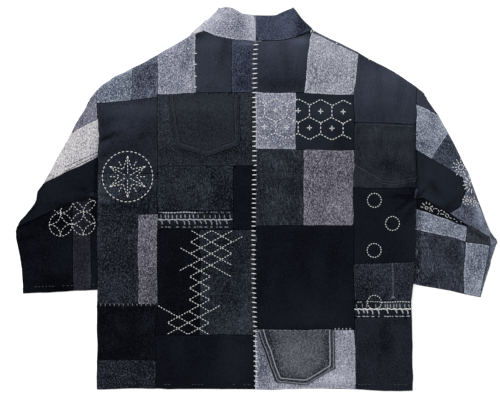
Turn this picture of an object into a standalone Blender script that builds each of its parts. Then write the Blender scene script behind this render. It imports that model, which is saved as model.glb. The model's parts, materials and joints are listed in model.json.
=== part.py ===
"""A patched boro jacket laid flat, face down, with its back uppermost.

The jacket is pieced from scraps of old denim. It lies on the plane z = 0, with +X to its right
and +Y towards the collar. The fronts and the undersides of the sleeves rest on the plane, and
the scraps of the back and of the sleeves lie on them. Both sleeves bend at the elbow: the cloth
of the upper arm laps over the forearm along a crease, and the forearm's inner edge lies under
the side of the body. All lengths are millimetres until make_mesh turns them into metres.
"""

import math

import bmesh
import bpy
from mathutils import Vector
from mathutils.bvhtree import BVHTree

MM = 0.001

# Driving sizes, in millimetres.
WALL = 1.5  # a scrap on its ground cloth
GAP = 0.3  # between two pieces at a seam
POCKET_GAP = 0.5  # between a pocket and the panel it is sewn on
SCRAP_CELL = 31.0  # size of a facet on the back and on the sleeves
FRONT_CELL = 34.0
POCKET_CELL = 15.0

LAYER = WALL + GAP
LAP_SPARE = 1.6  # air left between a lap and the cloth below it
LAP_RISE = 2 * LAYER + LAP_SPARE  # how high a lap stands over the forearm
LAP_FLAT = 30.0  # a lap stays at that height this far from its edge
LAP_REACH = 76.0  # and comes down to the layer below at this distance

LOFT = 6.5  # how far the cloth stands off the layer below, away from its edges
LOFT_REACH = 32.0
FOREARM_LOFT = 4.5
SWELL = 1.1  # slow unevenness of cloth that lies loose
SWELL_X = 62.0
SWELL_Y = 81.0

SEAM_ROUNDS = 12  # rounds that bring two crossing seams to their corner

COLLAR_RADIUS = 3.8  # mid-wall radius of the collar's fold at each side
COLLAR_FOLD_STEPS = 6
COLLAR_RUN_STEPS = 5
COLLAR_RISE_STEPS = 3

# Places that several pieces share.
SIDE_L = -334.5  # the left side and armhole
OUTER_L = -208.5  # first long seam in from the left side
OUTER_R = 204.0  # and the same in from the right side
CENTRE = -3.0  # the centre back seam
ARMHOLE_R = 335.0
HEM = -402.0
ELBOW = -2.5  # y of the armpits, where the armholes end

# The back's upper edge, from the left armhole over the neck to the right armhole.
UPPER_EDGE = (
    (SIDE_L, 229.0),
    (-326.0, 238.0),
    (-304.0, 253.0),
    (-262.0, 274.0),
    (OUTER_L, 302.0),
    (-155.0, 334.0),
    (-129.0, 346.0),
    (-111.0, 352.5),
    (-88.0, 342.0),
    (-55.0, 333.5),
    (CENTRE, 330.0),
    (45.0, 332.0),
    (80.0, 338.0),
    (116.0, 350.0),
    (138.0, 341.0),
    (171.0, 324.0),
    (213.5, 304.5),
    (259.0, 281.0),
    (287.0, 267.5),
    (ARMHOLE_R, 233.0),
)

# The body's side edges below the armpits, from the top down.
SIDE_EDGE_L = ((SIDE_L, ELBOW), (SIDE_L, -190.0), (SIDE_L, HEM))
SIDE_EDGE_R = (
    (ARMHOLE_R, ELBOW),
    (332.0, -137.0),
    (330.0, -179.0),
    (324.5, -214.0),
    (326.5, -250.0),
    (327.0, HEM),
)

# Seams that run down the back, from the top down. A plain number in the table of scraps is a
# seam that runs straight down at that x.
DOWN_SEAMS = {
    "side_l": SIDE_EDGE_L,
    "side_r": SIDE_EDGE_R,
    "outer_l": ((OUTER_L, 302.0), (OUTER_L, -223.0), (-213.5, -287.0), (-213.5, HEM)),
    "outer_r": ((213.5, 304.5), (OUTER_R, 217.0), (OUTER_R, HEM)),
    "yoke_r": ((116.0, 350.0), (99.5, 220.5)),
}

# Seams that run across the back, as two points on each. A plain number in the table of scraps
# is a level seam at that y, and "upper" is the back's upper edge.
ACROSS_SEAMS = {
    "shoulder_l": ((SIDE_L, 200.0), (OUTER_L, 212.0)),
    "chest_l": ((OUTER_L, 219.0), (CENTRE, 224.0)),
    "blade_l": ((SIDE_L, 53.0), (OUTER_L, 51.0)),
    "waist_l": ((SIDE_L, -36.0), (OUTER_L, -32.5)),
    "chest_r": ((CENTRE, 224.0), (OUTER_R, 217.0)),
    "blade_r": ((OUTER_R, 160.0), (ARMHOLE_R, 156.0)),
    "ribs_r": ((CENTRE, 103.5), (OUTER_R, 101.0)),
    "waist_r": ((OUTER_R, -137.5), (ARMHOLE_R, -134.0)),
}

# Scraps of the back.
#    name, left seam, right seam, top seam, bottom seam, cloth
BACK_SCRAPS = (
    ("back_l_shoulder_pale", SIDE_L, -262.0, "upper", "shoulder_l", "mist"),
    ("back_l_shoulder_slate", -262.0, "outer_l", "upper", "shoulder_l", "slate"),
    ("back_l_yoke_pale", "outer_l", -129.0, "upper", "chest_l", "ash"),
    ("back_l_yoke_navy", -129.0, -52.5, "upper", "chest_l", "navy"),
    ("back_l_yoke_indigo", -52.5, CENTRE, "upper", "chest_l", "indigo"),
    ("back_l_blade_navy", SIDE_L, "outer_l", "shoulder_l", "blade_l", "navy"),
    ("back_l_waist_soot", "side_l", "outer_l", "blade_l", "waist_l", "soot"),
    ("back_l_pocket_panel", "outer_l", CENTRE, "chest_l", 68.0, "charcoal"),
    ("back_l_middle_soot", "outer_l", -49.5, 68.0, -26.0, "soot"),
    ("back_l_felled_strip", "outer_l", -49.5, -26.0, -65.5, "seam_strip"),
    ("back_l_middle_black", -49.5, CENTRE, 68.0, -65.5, "black"),
    ("back_l_low_slate", "side_l", -249.5, "waist_l", -223.0, "denim_dark"),
    ("back_l_low_ash", -249.5, "outer_l", "waist_l", -223.0, "lilac"),
    ("back_l_hem_navy", "side_l", "outer_l", -223.0, -340.0, "navy"),
    ("back_l_hem_slate", "side_l", "outer_l", -340.0, HEM, "denim_dark"),
    ("back_l_lattice_black", "outer_l", -119.5, -65.5, -287.0, "black"),
    ("back_l_lattice_soot", -119.5, CENTRE, -65.5, -287.0, "soot"),
    ("back_l_hem_black", "outer_l", CENTRE, -287.0, HEM, "black"),
    ("back_r_yoke_navy", CENTRE, "yoke_r", "upper", "chest_r", "navy"),
    ("back_r_yoke_pale", "yoke_r", "outer_r", "upper", "chest_r", "mist"),
    ("back_r_shoulder_navy", "outer_r", ARMHOLE_R, "upper", "blade_r", "navy"),
    ("back_r_hexagon_ash", CENTRE, 83.0, "chest_r", "ribs_r", "ash"),
    ("back_r_hexagon_black", 83.0, "outer_r", "chest_r", "ribs_r", "black"),
    ("back_r_middle_coal", CENTRE, 97.5, "ribs_r", -57.0, "coal"),
    ("back_r_middle_lilac", 97.5, "outer_r", "ribs_r", -57.0, "lilac"),
    ("back_r_side_coal", "outer_r", ARMHOLE_R, "blade_r", 22.5, "coal"),
    ("back_r_side_black", "outer_r", "side_r", 22.5, "waist_r", "black"),
    ("back_r_side_denim", "outer_r", "side_r", "waist_r", -213.5, "denim_dark"),
    ("back_r_felled_strip", "outer_r", "side_r", -213.5, -250.0, "seam_strip"),
    ("back_r_hem_navy", "outer_r", "side_r", -250.0, HEM, "navy"),
    ("back_r_low_black", CENTRE, "outer_r", -57.0, -275.5, "black"),
    ("back_r_hem_ash", CENTRE, "outer_r", -275.5, HEM, "ash"),
)

# Marks on the left sleeve. The o row runs down its outer edge, the a row down the armhole, the c
# row along the elbow's crease, the t row along the forearm's hidden upper end, the q row along
# the cuff.
LEFT_MARKS = {
    "a0": (SIDE_L, 229.0),
    "a1": (SIDE_L, 166.0),
    "a2": (SIDE_L, 88.0),
    "a3": (SIDE_L, ELBOW),
    "o1": (-346.5, 213.5),
    "o2": (-389.5, 136.0),
    "o3": (-448.0, 32.0),
    "o4": (-460.0, 16.0),
    "o5": (-468.5, -13.0),
    "o6": (-493.0, -45.0),
    "c1": (-503.5, -62.5),
    "c2": (-466.0, -43.5),
    "c3": (-428.0, -24.5),
    "c4": (-382.0, -8.0),
    "c5": (-346.0, 2.5),
    "t0": (-505.5, -70.0),
    "t1": (-466.0, -28.0),
    "t2": (-428.0, -9.0),
    "t3": (-386.0, 5.0),
    "t4": (-348.0, 13.0),
    "t5": (-335.2, 9.0),
    "o7": (-497.5, -114.0),
    "q0": (-489.5, -200.5),
    "q1": (-386.0, -195.5),
    "q2": (-348.0, -193.5),
    "q3": (-319.0, -192.0),
}

# Scraps of the left sleeve, each with its four edges as a run of marks: top and bottom from the
# outer edge inward, outer and inner from the top down.
#    name, top, inner, bottom, outer, cloth
LEFT_UPPER = (
    ("sleeve_l_cap_slate", "o1 a0", "a0 a1", "o2 a1", "o1 o2", "slate"),
    ("sleeve_l_upper_white", "o2 a1", "a1 a2", "o3 a2", "o2 o3", "pale"),
    ("sleeve_l_elbow_black", "o3 a2", "a2 a3", "c1 c2 c3 c4 c5 a3", "o3 o4 o5 o6 c1", "black"),
)
LEFT_FOREARM = (
    ("forearm_l_outer_black", "t0 t1 t2 t3", "t3 q1", "q0 q1", "t0 o7 q0", "black"),
    ("forearm_l_strip_denim", "t3 t4", "t4 q2", "q1 q2", "t3 q1", "denim_dark"),
    ("forearm_l_inner_black", "t4 t5", "t5 q3", "q2 q3", "t4 q2", "black"),
)
LEFT_UNDER = ("sleeve_l_under", "o1 a0", "a0 a3 q3", "q0 q3", "o1 o2 o3 t0 q0", "under")
LEFT_CREASE = "c1 c2 c3 c4 c5 a3"
LEFT_FOREARM_SHOWS = "t0 c2 c3 c4 c5 a3 side q3 q0 o7"

# Marks on the right sleeve, in the same rows, with the i row along the seams inside the sleeve.
RIGHT_MARKS = {
    "a0": (ARMHOLE_R, 233.0),
    "a1": (ARMHOLE_R, 197.0),
    "a2": (ARMHOLE_R, 103.0),
    "a3": (ARMHOLE_R, ELBOW),
    "o1": (347.0, 222.5),
    "o2": (381.5, 175.5),
    "o3": (400.5, 137.0),
    "o4": (443.5, 58.0),
    "i1": (368.0, 83.5),
    "i2": (402.0, 62.0),
    "i3": (432.0, 45.0),
    "i4": (440.0, 15.5),
    "i5": (426.0, -17.0),
    "o5": (464.0, -4.0),
    "o6": (493.5, -66.5),
    "c1": (504.5, -89.0),
    "c2": (489.0, -79.0),
    "c3": (445.5, -56.0),
    "c4": (406.0, -31.5),
    "c5": (348.0, 0.5),
    "t0": (505.5, -93.5),
    "t1": (489.5, -66.0),
    "t2": (447.0, -42.0),
    "t3": (406.0, -16.5),
    "t4": (335.8, 9.0),
    "w1": (442.5, -57.5),
    "w2": (438.5, -89.5),
    "w3": (489.5, -99.0),
    "w4": (489.0, -79.0),
    "w5": (332.3, -22.0),
    "w6": (327.6, -64.0),
    "o7": (489.5, -137.0),
    "q0": (469.5, -208.5),
    "q1": (434.5, -200.5),
    "q2": (315.0, -177.0),
}

RIGHT_UPPER = (
    ("sleeve_r_cap_navy", "o1 a0", "a0 a1", "o2 a1", "o1 o2", "navy"),
    ("sleeve_r_upper_pale", "o2 a1", "a1 a2", "i1 a2", "o2 o3 i1", "mist"),
    ("sleeve_r_upper_indigo", "o3 i1", "i1 i2", "o4 i2", "o3 o4", "indigo"),
    ("sleeve_r_elbow_slate", "o4 i2", "i2 i3 i4 i5 c4", "c1 c2 c3 c4", "o4 o5 o6 c1", "slate"),
    ("sleeve_r_elbow_black", "i2 i1 a2", "a2 a3", "c4 c5 a3", "i2 i3 i4 i5 c4", "black"),
)
RIGHT_FOREARM = (
    ("forearm_r_top_black", "t2 t3 t4", "t4 w5", "w1 w5", "t2 w1", "black"),
    ("forearm_r_upper_pale", "w1 w5", "w5 w6", "w2 w6", "w1 w2", "mist"),
    ("forearm_r_elbow_black", "t0 t1 t2", "t2 w1 w2", "w3 w2", "t0 w3", "black"),
    ("forearm_r_inner_denim", "w2 w6", "w6 q2", "q1 q2", "w2 q1", "denim_dark"),
    ("forearm_r_outer_pale", "w3 w2", "w2 q1", "q0 q1", "w3 o7 q0", "mist"),
)
RIGHT_UNDER = ("sleeve_r_under", "o1 a0", "a0 a3 q2", "q0 q2", "o1 o2 o3 o4 t0 o7 q0", "slate")
RIGHT_CREASE = "c1 c2 c3 c4 c5 a3"
RIGHT_FOREARM_SHOWS = "t0 c2 c3 c4 c5 a3 side q2 q0 o7"

# The slip of each front's cloth that rolls over the shoulder onto the back.
SHOULDER_EDGES = (
    (
        "front_r_shoulder_edge",
        ((118.5, 354.0), (166.5, 331.5), (213.5, 308.0)),
        ((119.0, 348.7), (138.0, 341.0), (171.0, 324.0), (213.5, 304.5)),
        "navy",
    ),
    (
        "front_l_shoulder_edge",
        ((-143.0, 344.0), (-123.5, 358.5)),
        ((-129.0, 346.0), (-116.0, 350.7)),
        "pale",
    ),
)

# Pockets that show on the back, each as its sides from the mouth to the bottom.
#    name, mouth left and right, sides, bottom point(s), panel, cloth
POCKETS = (
    (
        "pocket_upper",
        ((-187.0, 216.0), (-35.0, 219.5)),
        ((-187.0, 216.0), (-172.0, 110.0)),
        ((-35.0, 219.5), (-36.5, 112.0)),
        ((-172.0, 110.0), (-104.0, 86.5), (-36.5, 112.0)),
        "back_l_pocket_panel",
        "charcoal",
    ),
    (
        "pocket_lower",
        ((4.0, -279.5), (162.0, -279.5)),
        ((4.0, -279.5), (39.5, -381.5)),
        ((162.0, -279.5), (163.5, -358.5)),
        ((39.5, -381.5), (46.0, -387.0), (98.0, -392.8), (109.5, -392.5), (163.5, -358.5)),
        "back_r_hem_ash",
        "slate",
    ),
)

# The fronts' neckline, from the side of the neck to the centre front, for one side.
NECK_POINT = (-117.0, 355.0)
FRONT_NECKLINE = (NECK_POINT, (-108.0, 318.0), (-82.0, 286.0), (-45.0, 269.0), (-0.8, 265.0))
CENTRE_FRONT = -0.8
FRONT_COLLAR_TOP = 322.0  # y of the collar's upper edge at the centre front

# The collar's upper edge, from the centre back to the fold at each side.
COLLAR_TOP_L = ((CENTRE, 386.0), (-31.0, 388.5), (-52.0, 398.5), (-79.0, 401.7))
COLLAR_TOP_R = ((CENTRE, 386.0), (40.0, 386.5), (75.5, 401.7))

# Colour (linear), roughness of each cloth.
CLOTHS = {
    "black": ((0.010, 0.011, 0.015), 0.92),
    "navy": ((0.022, 0.026, 0.040), 0.9),
    "indigo": ((0.040, 0.047, 0.072), 0.9),
    "charcoal": ((0.026, 0.029, 0.037), 0.9),
    "coal": ((0.032, 0.035, 0.045), 0.9),
    "soot": ((0.042, 0.046, 0.060), 0.9),
    "denim_dark": ((0.060, 0.066, 0.084), 0.9),
    "slate": ((0.130, 0.140, 0.175), 0.9),
    "lilac": ((0.150, 0.150, 0.185), 0.9),
    "ash": ((0.270, 0.275, 0.330), 0.92),
    "mist": ((0.300, 0.310, 0.370), 0.92),
    "pale": ((0.430, 0.430, 0.490), 0.92),
    "seam_strip": ((0.075, 0.080, 0.100), 0.9),
    "under": ((0.024, 0.027, 0.036), 0.92),
}


def fresh_scene():
    """Removes what the scene holds and returns the jacket's own collection."""
    for obj in list(bpy.data.objects):
        bpy.data.objects.remove(obj, do_unlink=True)
    jacket = bpy.data.collections.new("patched_boro_jacket")
    bpy.context.scene.collection.children.link(jacket)
    return jacket


def cloth_material(name):
    """The plain Principled material of one cloth, made once."""
    known = bpy.data.materials.get(name)
    if known:
        return known
    colour, roughness = CLOTHS[name]
    material = bpy.data.materials.new(name)
    material.use_nodes = True
    shader = material.node_tree.nodes["Principled BSDF"]
    shader.inputs["Base Color"].default_value = (*colour, 1.0)
    shader.inputs["Roughness"].default_value = roughness
    shader.inputs["Metallic"].default_value = 0.0
    material.diffuse_color = (*colour, 1.0)
    return material


# Plane geometry: points are (x, y) pairs and a run is a list of points.


def run_of(marks, names):
    """The points that a string of mark names stands for."""
    return [marks[name] for name in names.split()]


def distance_to_run(x, y, run):
    """The distance from (x, y) to a run of straight stretches."""
    nearest = math.inf
    for (ax, ay), (bx, by) in zip(run, run[1:], strict=False):
        length_squared = (bx - ax) ** 2 + (by - ay) ** 2
        along = ((x - ax) * (bx - ax) + (y - ay) * (by - ay)) / length_squared
        along = min(1.0, max(0.0, along))
        step_x = x - ax - along * (bx - ax)
        step_y = y - ay - along * (by - ay)
        nearest = min(nearest, math.hypot(step_x, step_y))
    return nearest


def inside(x, y, ring):
    """Whether (x, y) lies in a closed ring of points."""
    within = False
    for (ax, ay), (bx, by) in zip(ring, ring[1:] + ring[:1], strict=True):
        if (ay > y) != (by > y) and x < ax + (y - ay) * (bx - ax) / (by - ay):
            within = not within
    return within


def signed_area(ring):
    total = 0.0
    for (ax, ay), (bx, by) in zip(ring, ring[1:] + ring[:1], strict=True):
        total += ax * by - bx * ay
    return total / 2


def shifted_lines_meet(before, corner, after, inset):
    """Where the two edges at a corner of an anticlockwise ring meet once both have moved in."""
    first = Vector(corner) - Vector(before)
    second = Vector(after) - Vector(corner)
    first.normalize()
    second.normalize()
    normal = Vector((-first.y, first.x)) + Vector((-second.y, second.x))
    normal.normalize()
    spread = max(0.25, normal.dot(Vector((-first.y, first.x))))
    moved = Vector(corner) + normal * (inset / spread)
    return (moved.x, moved.y)


def drawn_in(sides, inset):
    """The four sides of a piece, each edge moved in by inset, with corners kept shared."""
    top, right, bottom, left = sides
    ring = list(top[:-1]) + list(right[:-1]) + list(reversed(bottom))[:-1]
    ring += list(reversed(left))[:-1]
    turn = 1 if signed_area(ring) > 0 else -1
    count = len(ring)
    moved = []
    for index, corner in enumerate(ring):
        before = ring[(index - turn) % count]
        after = ring[(index + turn) % count]
        moved.append(shifted_lines_meet(before, corner, after, inset))
    ends = [len(top) - 1, len(right) - 1, len(bottom) - 1]
    first = ends[0]
    second = first + ends[1]
    third = second + ends[2]
    new_top = moved[: first + 1]
    new_right = moved[first : second + 1]
    new_bottom = list(reversed(moved[second : third + 1]))
    new_left = list(reversed(moved[third:] + moved[:1]))
    return new_top, new_right, new_bottom, new_left


def run_length(run):
    return sum(math.dist(a, b) for a, b in zip(run, run[1:], strict=False))


def stations(run, steps):
    """steps + 1 points along a run, which keep every bend of the run."""
    lengths = [math.dist(a, b) for a, b in zip(run, run[1:], strict=False)]
    shares = [1] * len(lengths)
    for _ in range(steps - len(lengths)):
        longest = max(range(len(lengths)), key=lambda i: lengths[i] / shares[i])
        shares[longest] += 1
    points = [run[0]]
    for (a, b), share in zip(zip(run, run[1:], strict=False), shares, strict=True):
        for step in range(1, share + 1):
            points.append(tuple(Vector(a).lerp(Vector(b), step / share)))
    return points


def blended_grid(sides, cell):
    """Rows of points that fill the four sides of a piece, blended from its edges."""
    top, right, bottom, left = sides
    across = max(len(top), len(bottom)) - 1
    across = max(across, round(max(run_length(top), run_length(bottom)) / cell))
    down = max(len(left), len(right)) - 1
    down = max(down, round(max(run_length(left), run_length(right)) / cell))
    top_points = stations(top, across)
    bottom_points = stations(bottom, across)
    left_points = stations(left, down)
    right_points = stations(right, down)
    corners = [Vector(p) for p in (top[0], top[-1], bottom[0], bottom[-1])]
    rows = []
    for j in range(down + 1):
        v = j / down
        row = []
        for i in range(across + 1):
            u = i / across
            along = Vector(top_points[i]) * (1 - v) + Vector(bottom_points[i]) * v
            cross = Vector(left_points[j]) * (1 - u) + Vector(right_points[j]) * u
            flat = (corners[0] * (1 - u) + corners[1] * u) * (1 - v)
            flat += (corners[2] * (1 - u) + corners[3] * u) * v
            row.append(along + cross - flat)
        rows.append(row)
    return rows


# Heights of the layers.

LEFT_LAP = run_of(LEFT_MARKS, LEFT_CREASE) + [(SIDE_L, LEFT_MARKS["q2"][1])]
RIGHT_LAP = run_of(RIGHT_MARKS, RIGHT_CREASE) + list(SIDE_EDGE_R[1:3])
OUTLINE = (
    UPPER_EDGE[:8],
    UPPER_EDGE[13:],
    COLLAR_TOP_L + (UPPER_EDGE[7],),
    COLLAR_TOP_R + (UPPER_EDGE[13],),
    tuple(run_of(LEFT_MARKS, "a0 o1 o2 o3 o4 o5 o6 " + LEFT_CREASE)) + SIDE_EDGE_L[1:],
    tuple(run_of(RIGHT_MARKS, "a0 o1 o2 o3 o4 o5 o6 " + RIGHT_CREASE)) + SIDE_EDGE_R[1:],
    (SIDE_EDGE_L[-1], SIDE_EDGE_R[-1]),
)


def lap_height(x, y):
    """How far the forearms below lift the cloth at (x, y)."""
    away = min(distance_to_run(x, y, LEFT_LAP), distance_to_run(x, y, RIGHT_LAP))
    fall = (LAP_REACH - away) / (LAP_REACH - LAP_FLAT)
    return LAP_RISE * min(1.0, max(0.0, fall))


def top_height(x, y):
    """The underside of the uppermost layer, on the body and the upper arms."""
    away = min(distance_to_run(x, y, run) for run in OUTLINE)
    loft = LOFT * (1 - math.exp(-away / LOFT_REACH))
    swell = SWELL * math.sin(x / SWELL_X) * math.cos(y / SWELL_Y) * loft / LOFT
    return LAYER + lap_height(x, y) + loft + swell


def floor_height(x, y):
    return 0.0


def forearm_height(ring):
    """The height of a forearm's upper cloth: flat under the laps, lofted where it shows."""
    edge = ring + ring[:1]

    def height(x, y):
        if not inside(x, y, ring):
            return LAYER
        away = distance_to_run(x, y, edge)
        return LAYER + FOREARM_LOFT * (1 - math.exp(-away / LOFT_REACH))

    return height


# Meshes.


def make_mesh(name, collection, cloth, shape):
    """An object from a bmesh in millimetres, which it frees."""
    bmesh.ops.scale(shape, vec=(MM, MM, MM), verts=shape.verts)
    mesh = bpy.data.meshes.new(name)
    shape.to_mesh(mesh)
    shape.free()
    obj = bpy.data.objects.new(name, mesh)
    obj.data.materials.append(cloth_material(cloth))
    collection.objects.link(obj)
    return obj


def grid_shape(rows, height):
    """A bmesh grid whose points lie at the given rows, at the height of their place."""
    shape = bmesh.new()
    down = len(rows) - 1
    across = len(rows[0]) - 1
    made = bmesh.ops.create_grid(shape, x_segments=across, y_segments=down, size=1.0)
    for vert in made["verts"]:
        i = round((vert.co.x + 1) / 2 * across)
        j = round((1 - vert.co.y) / 2 * down)
        x, y = rows[j][i]
        vert.co = (x, y, height(x, y))
    return shape


def thicken_up(shape, wall):
    """Closes an open sheet into a wall that stands straight up from it."""
    bmesh.ops.recalc_face_normals(shape, faces=shape.faces)
    made = bmesh.ops.extrude_face_region(shape, geom=shape.faces[:], use_keep_orig=True)
    upper = [part for part in made["geom"] if isinstance(part, bmesh.types.BMVert)]
    bmesh.ops.translate(shape, vec=(0.0, 0.0, wall), verts=upper)
    bmesh.ops.recalc_face_normals(shape, faces=shape.faces)


def panel(name, collection, cloth, sides, height, cell):
    """One cut piece of cloth: its four sides drawn in for the seams, gridded and thickened."""
    rows = blended_grid(drawn_in(sides, GAP / 2), cell)
    shape = grid_shape(rows, height)
    thicken_up(shape, WALL)
    return make_mesh(name, collection, cloth, shape)


def y_across(seam, x):
    """The y of a seam that runs across the back, at x."""
    if seam == "upper":
        for (ax, ay), (bx, by) in zip(UPPER_EDGE, UPPER_EDGE[1:], strict=False):
            if x <= bx:
                return ay + (x - ax) / (bx - ax) * (by - ay)
    if seam in ACROSS_SEAMS:
        (ax, ay), (bx, by) = ACROSS_SEAMS[seam]
        return ay + (x - ax) / (bx - ax) * (by - ay)
    return seam


def x_down(seam, y):
    """The x of a seam that runs down the back, at y."""
    if seam not in DOWN_SEAMS:
        return seam
    run = DOWN_SEAMS[seam]
    for (ax, ay), (bx, by) in zip(run, run[1:], strict=False):
        if y >= by:
            return ax + max(0.0, ay - y) / (ay - by) * (bx - ax)
    return run[-1][0]


def seams_meet(down, across):
    """The corner where a seam that runs down meets one that runs across."""
    x = x_down(down, 0.0)
    for _ in range(SEAM_ROUNDS):
        y = y_across(across, x)
        x = x_down(down, y)
    return (x, y)


def scrap_sides(left, right, top, bottom):
    """The four sides of a scrap of the back, from one row of its table."""

    def down_run(seam):
        start = seams_meet(seam, top)
        end = seams_meet(seam, bottom)
        bends = [point for point in DOWN_SEAMS.get(seam, ()) if end[1] < point[1] < start[1]]
        return [start, *bends, end]

    left_run = down_run(left)
    right_run = down_run(right)
    top_run = [left_run[0], right_run[0]]
    if top == "upper":
        bends = [p for p in UPPER_EDGE if left_run[0][0] < p[0] < right_run[0][0]]
        top_run = [left_run[0], *bends, right_run[0]]
    return top_run, right_run, [left_run[-1], right_run[-1]], left_run


def make_back(collection):
    for name, left, right, top, bottom, cloth in BACK_SCRAPS:
        sides = scrap_sides(left, right, top, bottom)
        panel(name, collection, cloth, sides, top_height, SCRAP_CELL)


def make_sleeve(collection, marks, upper, forearm, under, shows, side_mark):
    """The scraps of one sleeve and the plain cloth under them."""

    def sides_of(row):
        return tuple(run_of(marks, names) for names in row[1:5])

    marks = dict(marks, side=side_mark)
    forearm_top = forearm_height(run_of(marks, shows))
    for row in upper:
        panel(row[0], collection, row[5], sides_of(row), top_height, SCRAP_CELL)
    for row in forearm:
        panel(row[0], collection, row[5], sides_of(row), forearm_top, SCRAP_CELL)
    panel(under[0], collection, under[5], sides_of(under), floor_height, FRONT_CELL)


def mirrored(run):
    return [(-x, y) for x, y in run]


def make_fronts(collection):
    """The two plain fronts, which lie on the plane and rise over the forearms at the sides."""
    shoulder_l = [NECK_POINT, *reversed(UPPER_EDGE[:7])]
    neckline = list(FRONT_NECKLINE)
    left = (
        neckline[::-1],
        shoulder_l + list(SIDE_EDGE_L),
        [(CENTRE_FRONT, HEM), (SIDE_L, HEM)],
        [(CENTRE_FRONT, neckline[-1][1]), (CENTRE_FRONT, HEM)],
    )
    panel("front_l", collection, "under", left, lap_height, FRONT_CELL)
    right_slip_above = SHOULDER_EDGES[0][1]
    shoulder_r = [(-NECK_POINT[0], NECK_POINT[1]), *right_slip_above[1:]]
    shoulder_r += list(UPPER_EDGE[17:])
    right = (
        mirrored(neckline)[::-1],
        shoulder_r + list(SIDE_EDGE_R),
        [(-CENTRE_FRONT, HEM), (SIDE_EDGE_R[-1][0], HEM)],
        [(-CENTRE_FRONT, neckline[-1][1]), (-CENTRE_FRONT, HEM)],
    )
    panel("front_r", collection, "under", right, lap_height, FRONT_CELL)


def make_shoulder_edges(collection):
    for name, above, below, cloth in SHOULDER_EDGES:
        sides = (
            list(above),
            [above[-1], below[-1]],
            list(below),
            [above[0], below[0]],
        )
        panel(name, collection, cloth, sides, top_height, SCRAP_CELL)


def panel_surface(obj):
    """A function that gives the height of an object's upper face, in millimetres."""
    shape = bmesh.new()
    shape.from_mesh(obj.data)
    tree = BVHTree.FromBMesh(shape)
    shape.free()

    def height(x, y):
        hit = tree.ray_cast(Vector((x * MM, y * MM, 1.0)), Vector((0.0, 0.0, -1.0)))[0]
        return hit.z / MM + POCKET_GAP

    return height


def make_pockets(collection):
    for name, mouth, left, right, bottom, host, cloth in POCKETS:
        surface = panel_surface(bpy.data.objects[host])
        sides = (list(mouth), list(right), list(bottom), list(left))
        panel(name, collection, cloth, sides, surface, POCKET_CELL)


def make_collar_half(name, collection, cloth, seam, top_edge, side):
    """One half of the stand collar: over the back of the neck, round the fold at its side, and
    back below along the fronts' neckline. side is -1 on the left and 1 on the right."""
    neckline = [(-side * x, y) for x, y in FRONT_NECKLINE]
    fold_low = neckline[0]
    fold_high = top_edge[-1]
    back_low = stations(list(seam[:-1]) + [fold_low], COLLAR_RUN_STEPS)
    back_high = stations(list(top_edge), COLLAR_RUN_STEPS)
    front_low = stations(neckline, COLLAR_RUN_STEPS)
    front_high = stations([fold_high, (neckline[-1][0], FRONT_COLLAR_TOP)], COLLAR_RUN_STEPS)
    along = (Vector(fold_high) - Vector(fold_low)).normalized()
    outward = Vector((-along.y, along.x))
    if outward.x * side < 0:
        outward = -outward
    middle = WALL / 2
    sections = []  # each is (low point, high point, height, how far round the fold)
    for low, high in zip(back_low[:-1], back_high[:-1], strict=True):
        sections.append((low, high, middle + 2 * COLLAR_RADIUS, 0.0))
    for step in range(COLLAR_FOLD_STEPS + 1):
        angle = math.pi * step / COLLAR_FOLD_STEPS
        rise = middle + COLLAR_RADIUS * (1 + math.cos(angle))
        sections.append((fold_low, fold_high, rise, COLLAR_RADIUS * (math.sin(angle) - 1)))
    for low, high in zip(front_low[1:], front_high[1:], strict=True):
        sections.append((low, high, middle, 0.0))
    shape = bmesh.new()
    across = len(sections) - 1
    made = bmesh.ops.create_grid(
        shape, x_segments=across, y_segments=COLLAR_RISE_STEPS, size=1.0
    )
    for vert in made["verts"]:
        i = round((vert.co.x + 1) / 2 * across)
        v = (vert.co.y + 1) / 2
        low, high, rise, out = sections[i]
        place = Vector(low).lerp(Vector(high), v)
        if out:
            place += outward * out
        place.y += GAP if v == 0 else 0.0
        if i in (0, across):
            place.x += side * GAP / 2
        vert.co = (place.x, place.y, rise)
    obj = make_mesh(name, collection, cloth, shape)
    wall = obj.modifiers.new("wall", "SOLIDIFY")
    wall.thickness = WALL * MM
    wall.offset = 0.0
    wall.use_even_offset = False
    return obj


def make_collar(collection):
    seam_l = UPPER_EDGE[10:6:-1]
    seam_r = UPPER_EDGE[10:14]
    make_collar_half("collar_l", collection, "ash", seam_l, COLLAR_TOP_L, -1)
    make_collar_half("collar_r", collection, "indigo", seam_r, COLLAR_TOP_R, 1)


def main():
    jacket = fresh_scene()
    make_fronts(jacket)
    make_back(jacket)
    make_shoulder_edges(jacket)
    make_pockets(jacket)
    left_side = (SIDE_L, LEFT_MARKS["q3"][1])
    make_sleeve(
        jacket, LEFT_MARKS, LEFT_UPPER, LEFT_FOREARM, LEFT_UNDER, LEFT_FOREARM_SHOWS, left_side
    )
    right_side = (SIDE_EDGE_R[2][0], RIGHT_MARKS["q2"][1])
    make_sleeve(
        jacket, RIGHT_MARKS, RIGHT_UPPER, RIGHT_FOREARM, RIGHT_UNDER, RIGHT_FOREARM_SHOWS,
        right_side,
    )
    make_collar(jacket)


main()
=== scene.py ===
# %% [markdown]
# # A patched boro jacket laid flat on a table
# Boro is the Japanese way of keeping work clothes alive: worn indigo and black cotton is pieced
# and patched with scraps, and white running stitch, called sashiko, holds the layers together.
# This jacket lies face down with its back uppermost. The lesson dresses a plain solid model of
# it. Every scrap becomes a thin shell of cloth on the solid's own form, then come creases,
# faded denim, and nearly fifteen hundred stitches. Loading the solid model first gives every later
# step its sizes, so nothing is placed by guesswork.

import json
import math

import bmesh
import bpy
import numpy as np
from mathutils import Matrix, Vector, noise
from mathutils.bvhtree import BVHTree


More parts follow.
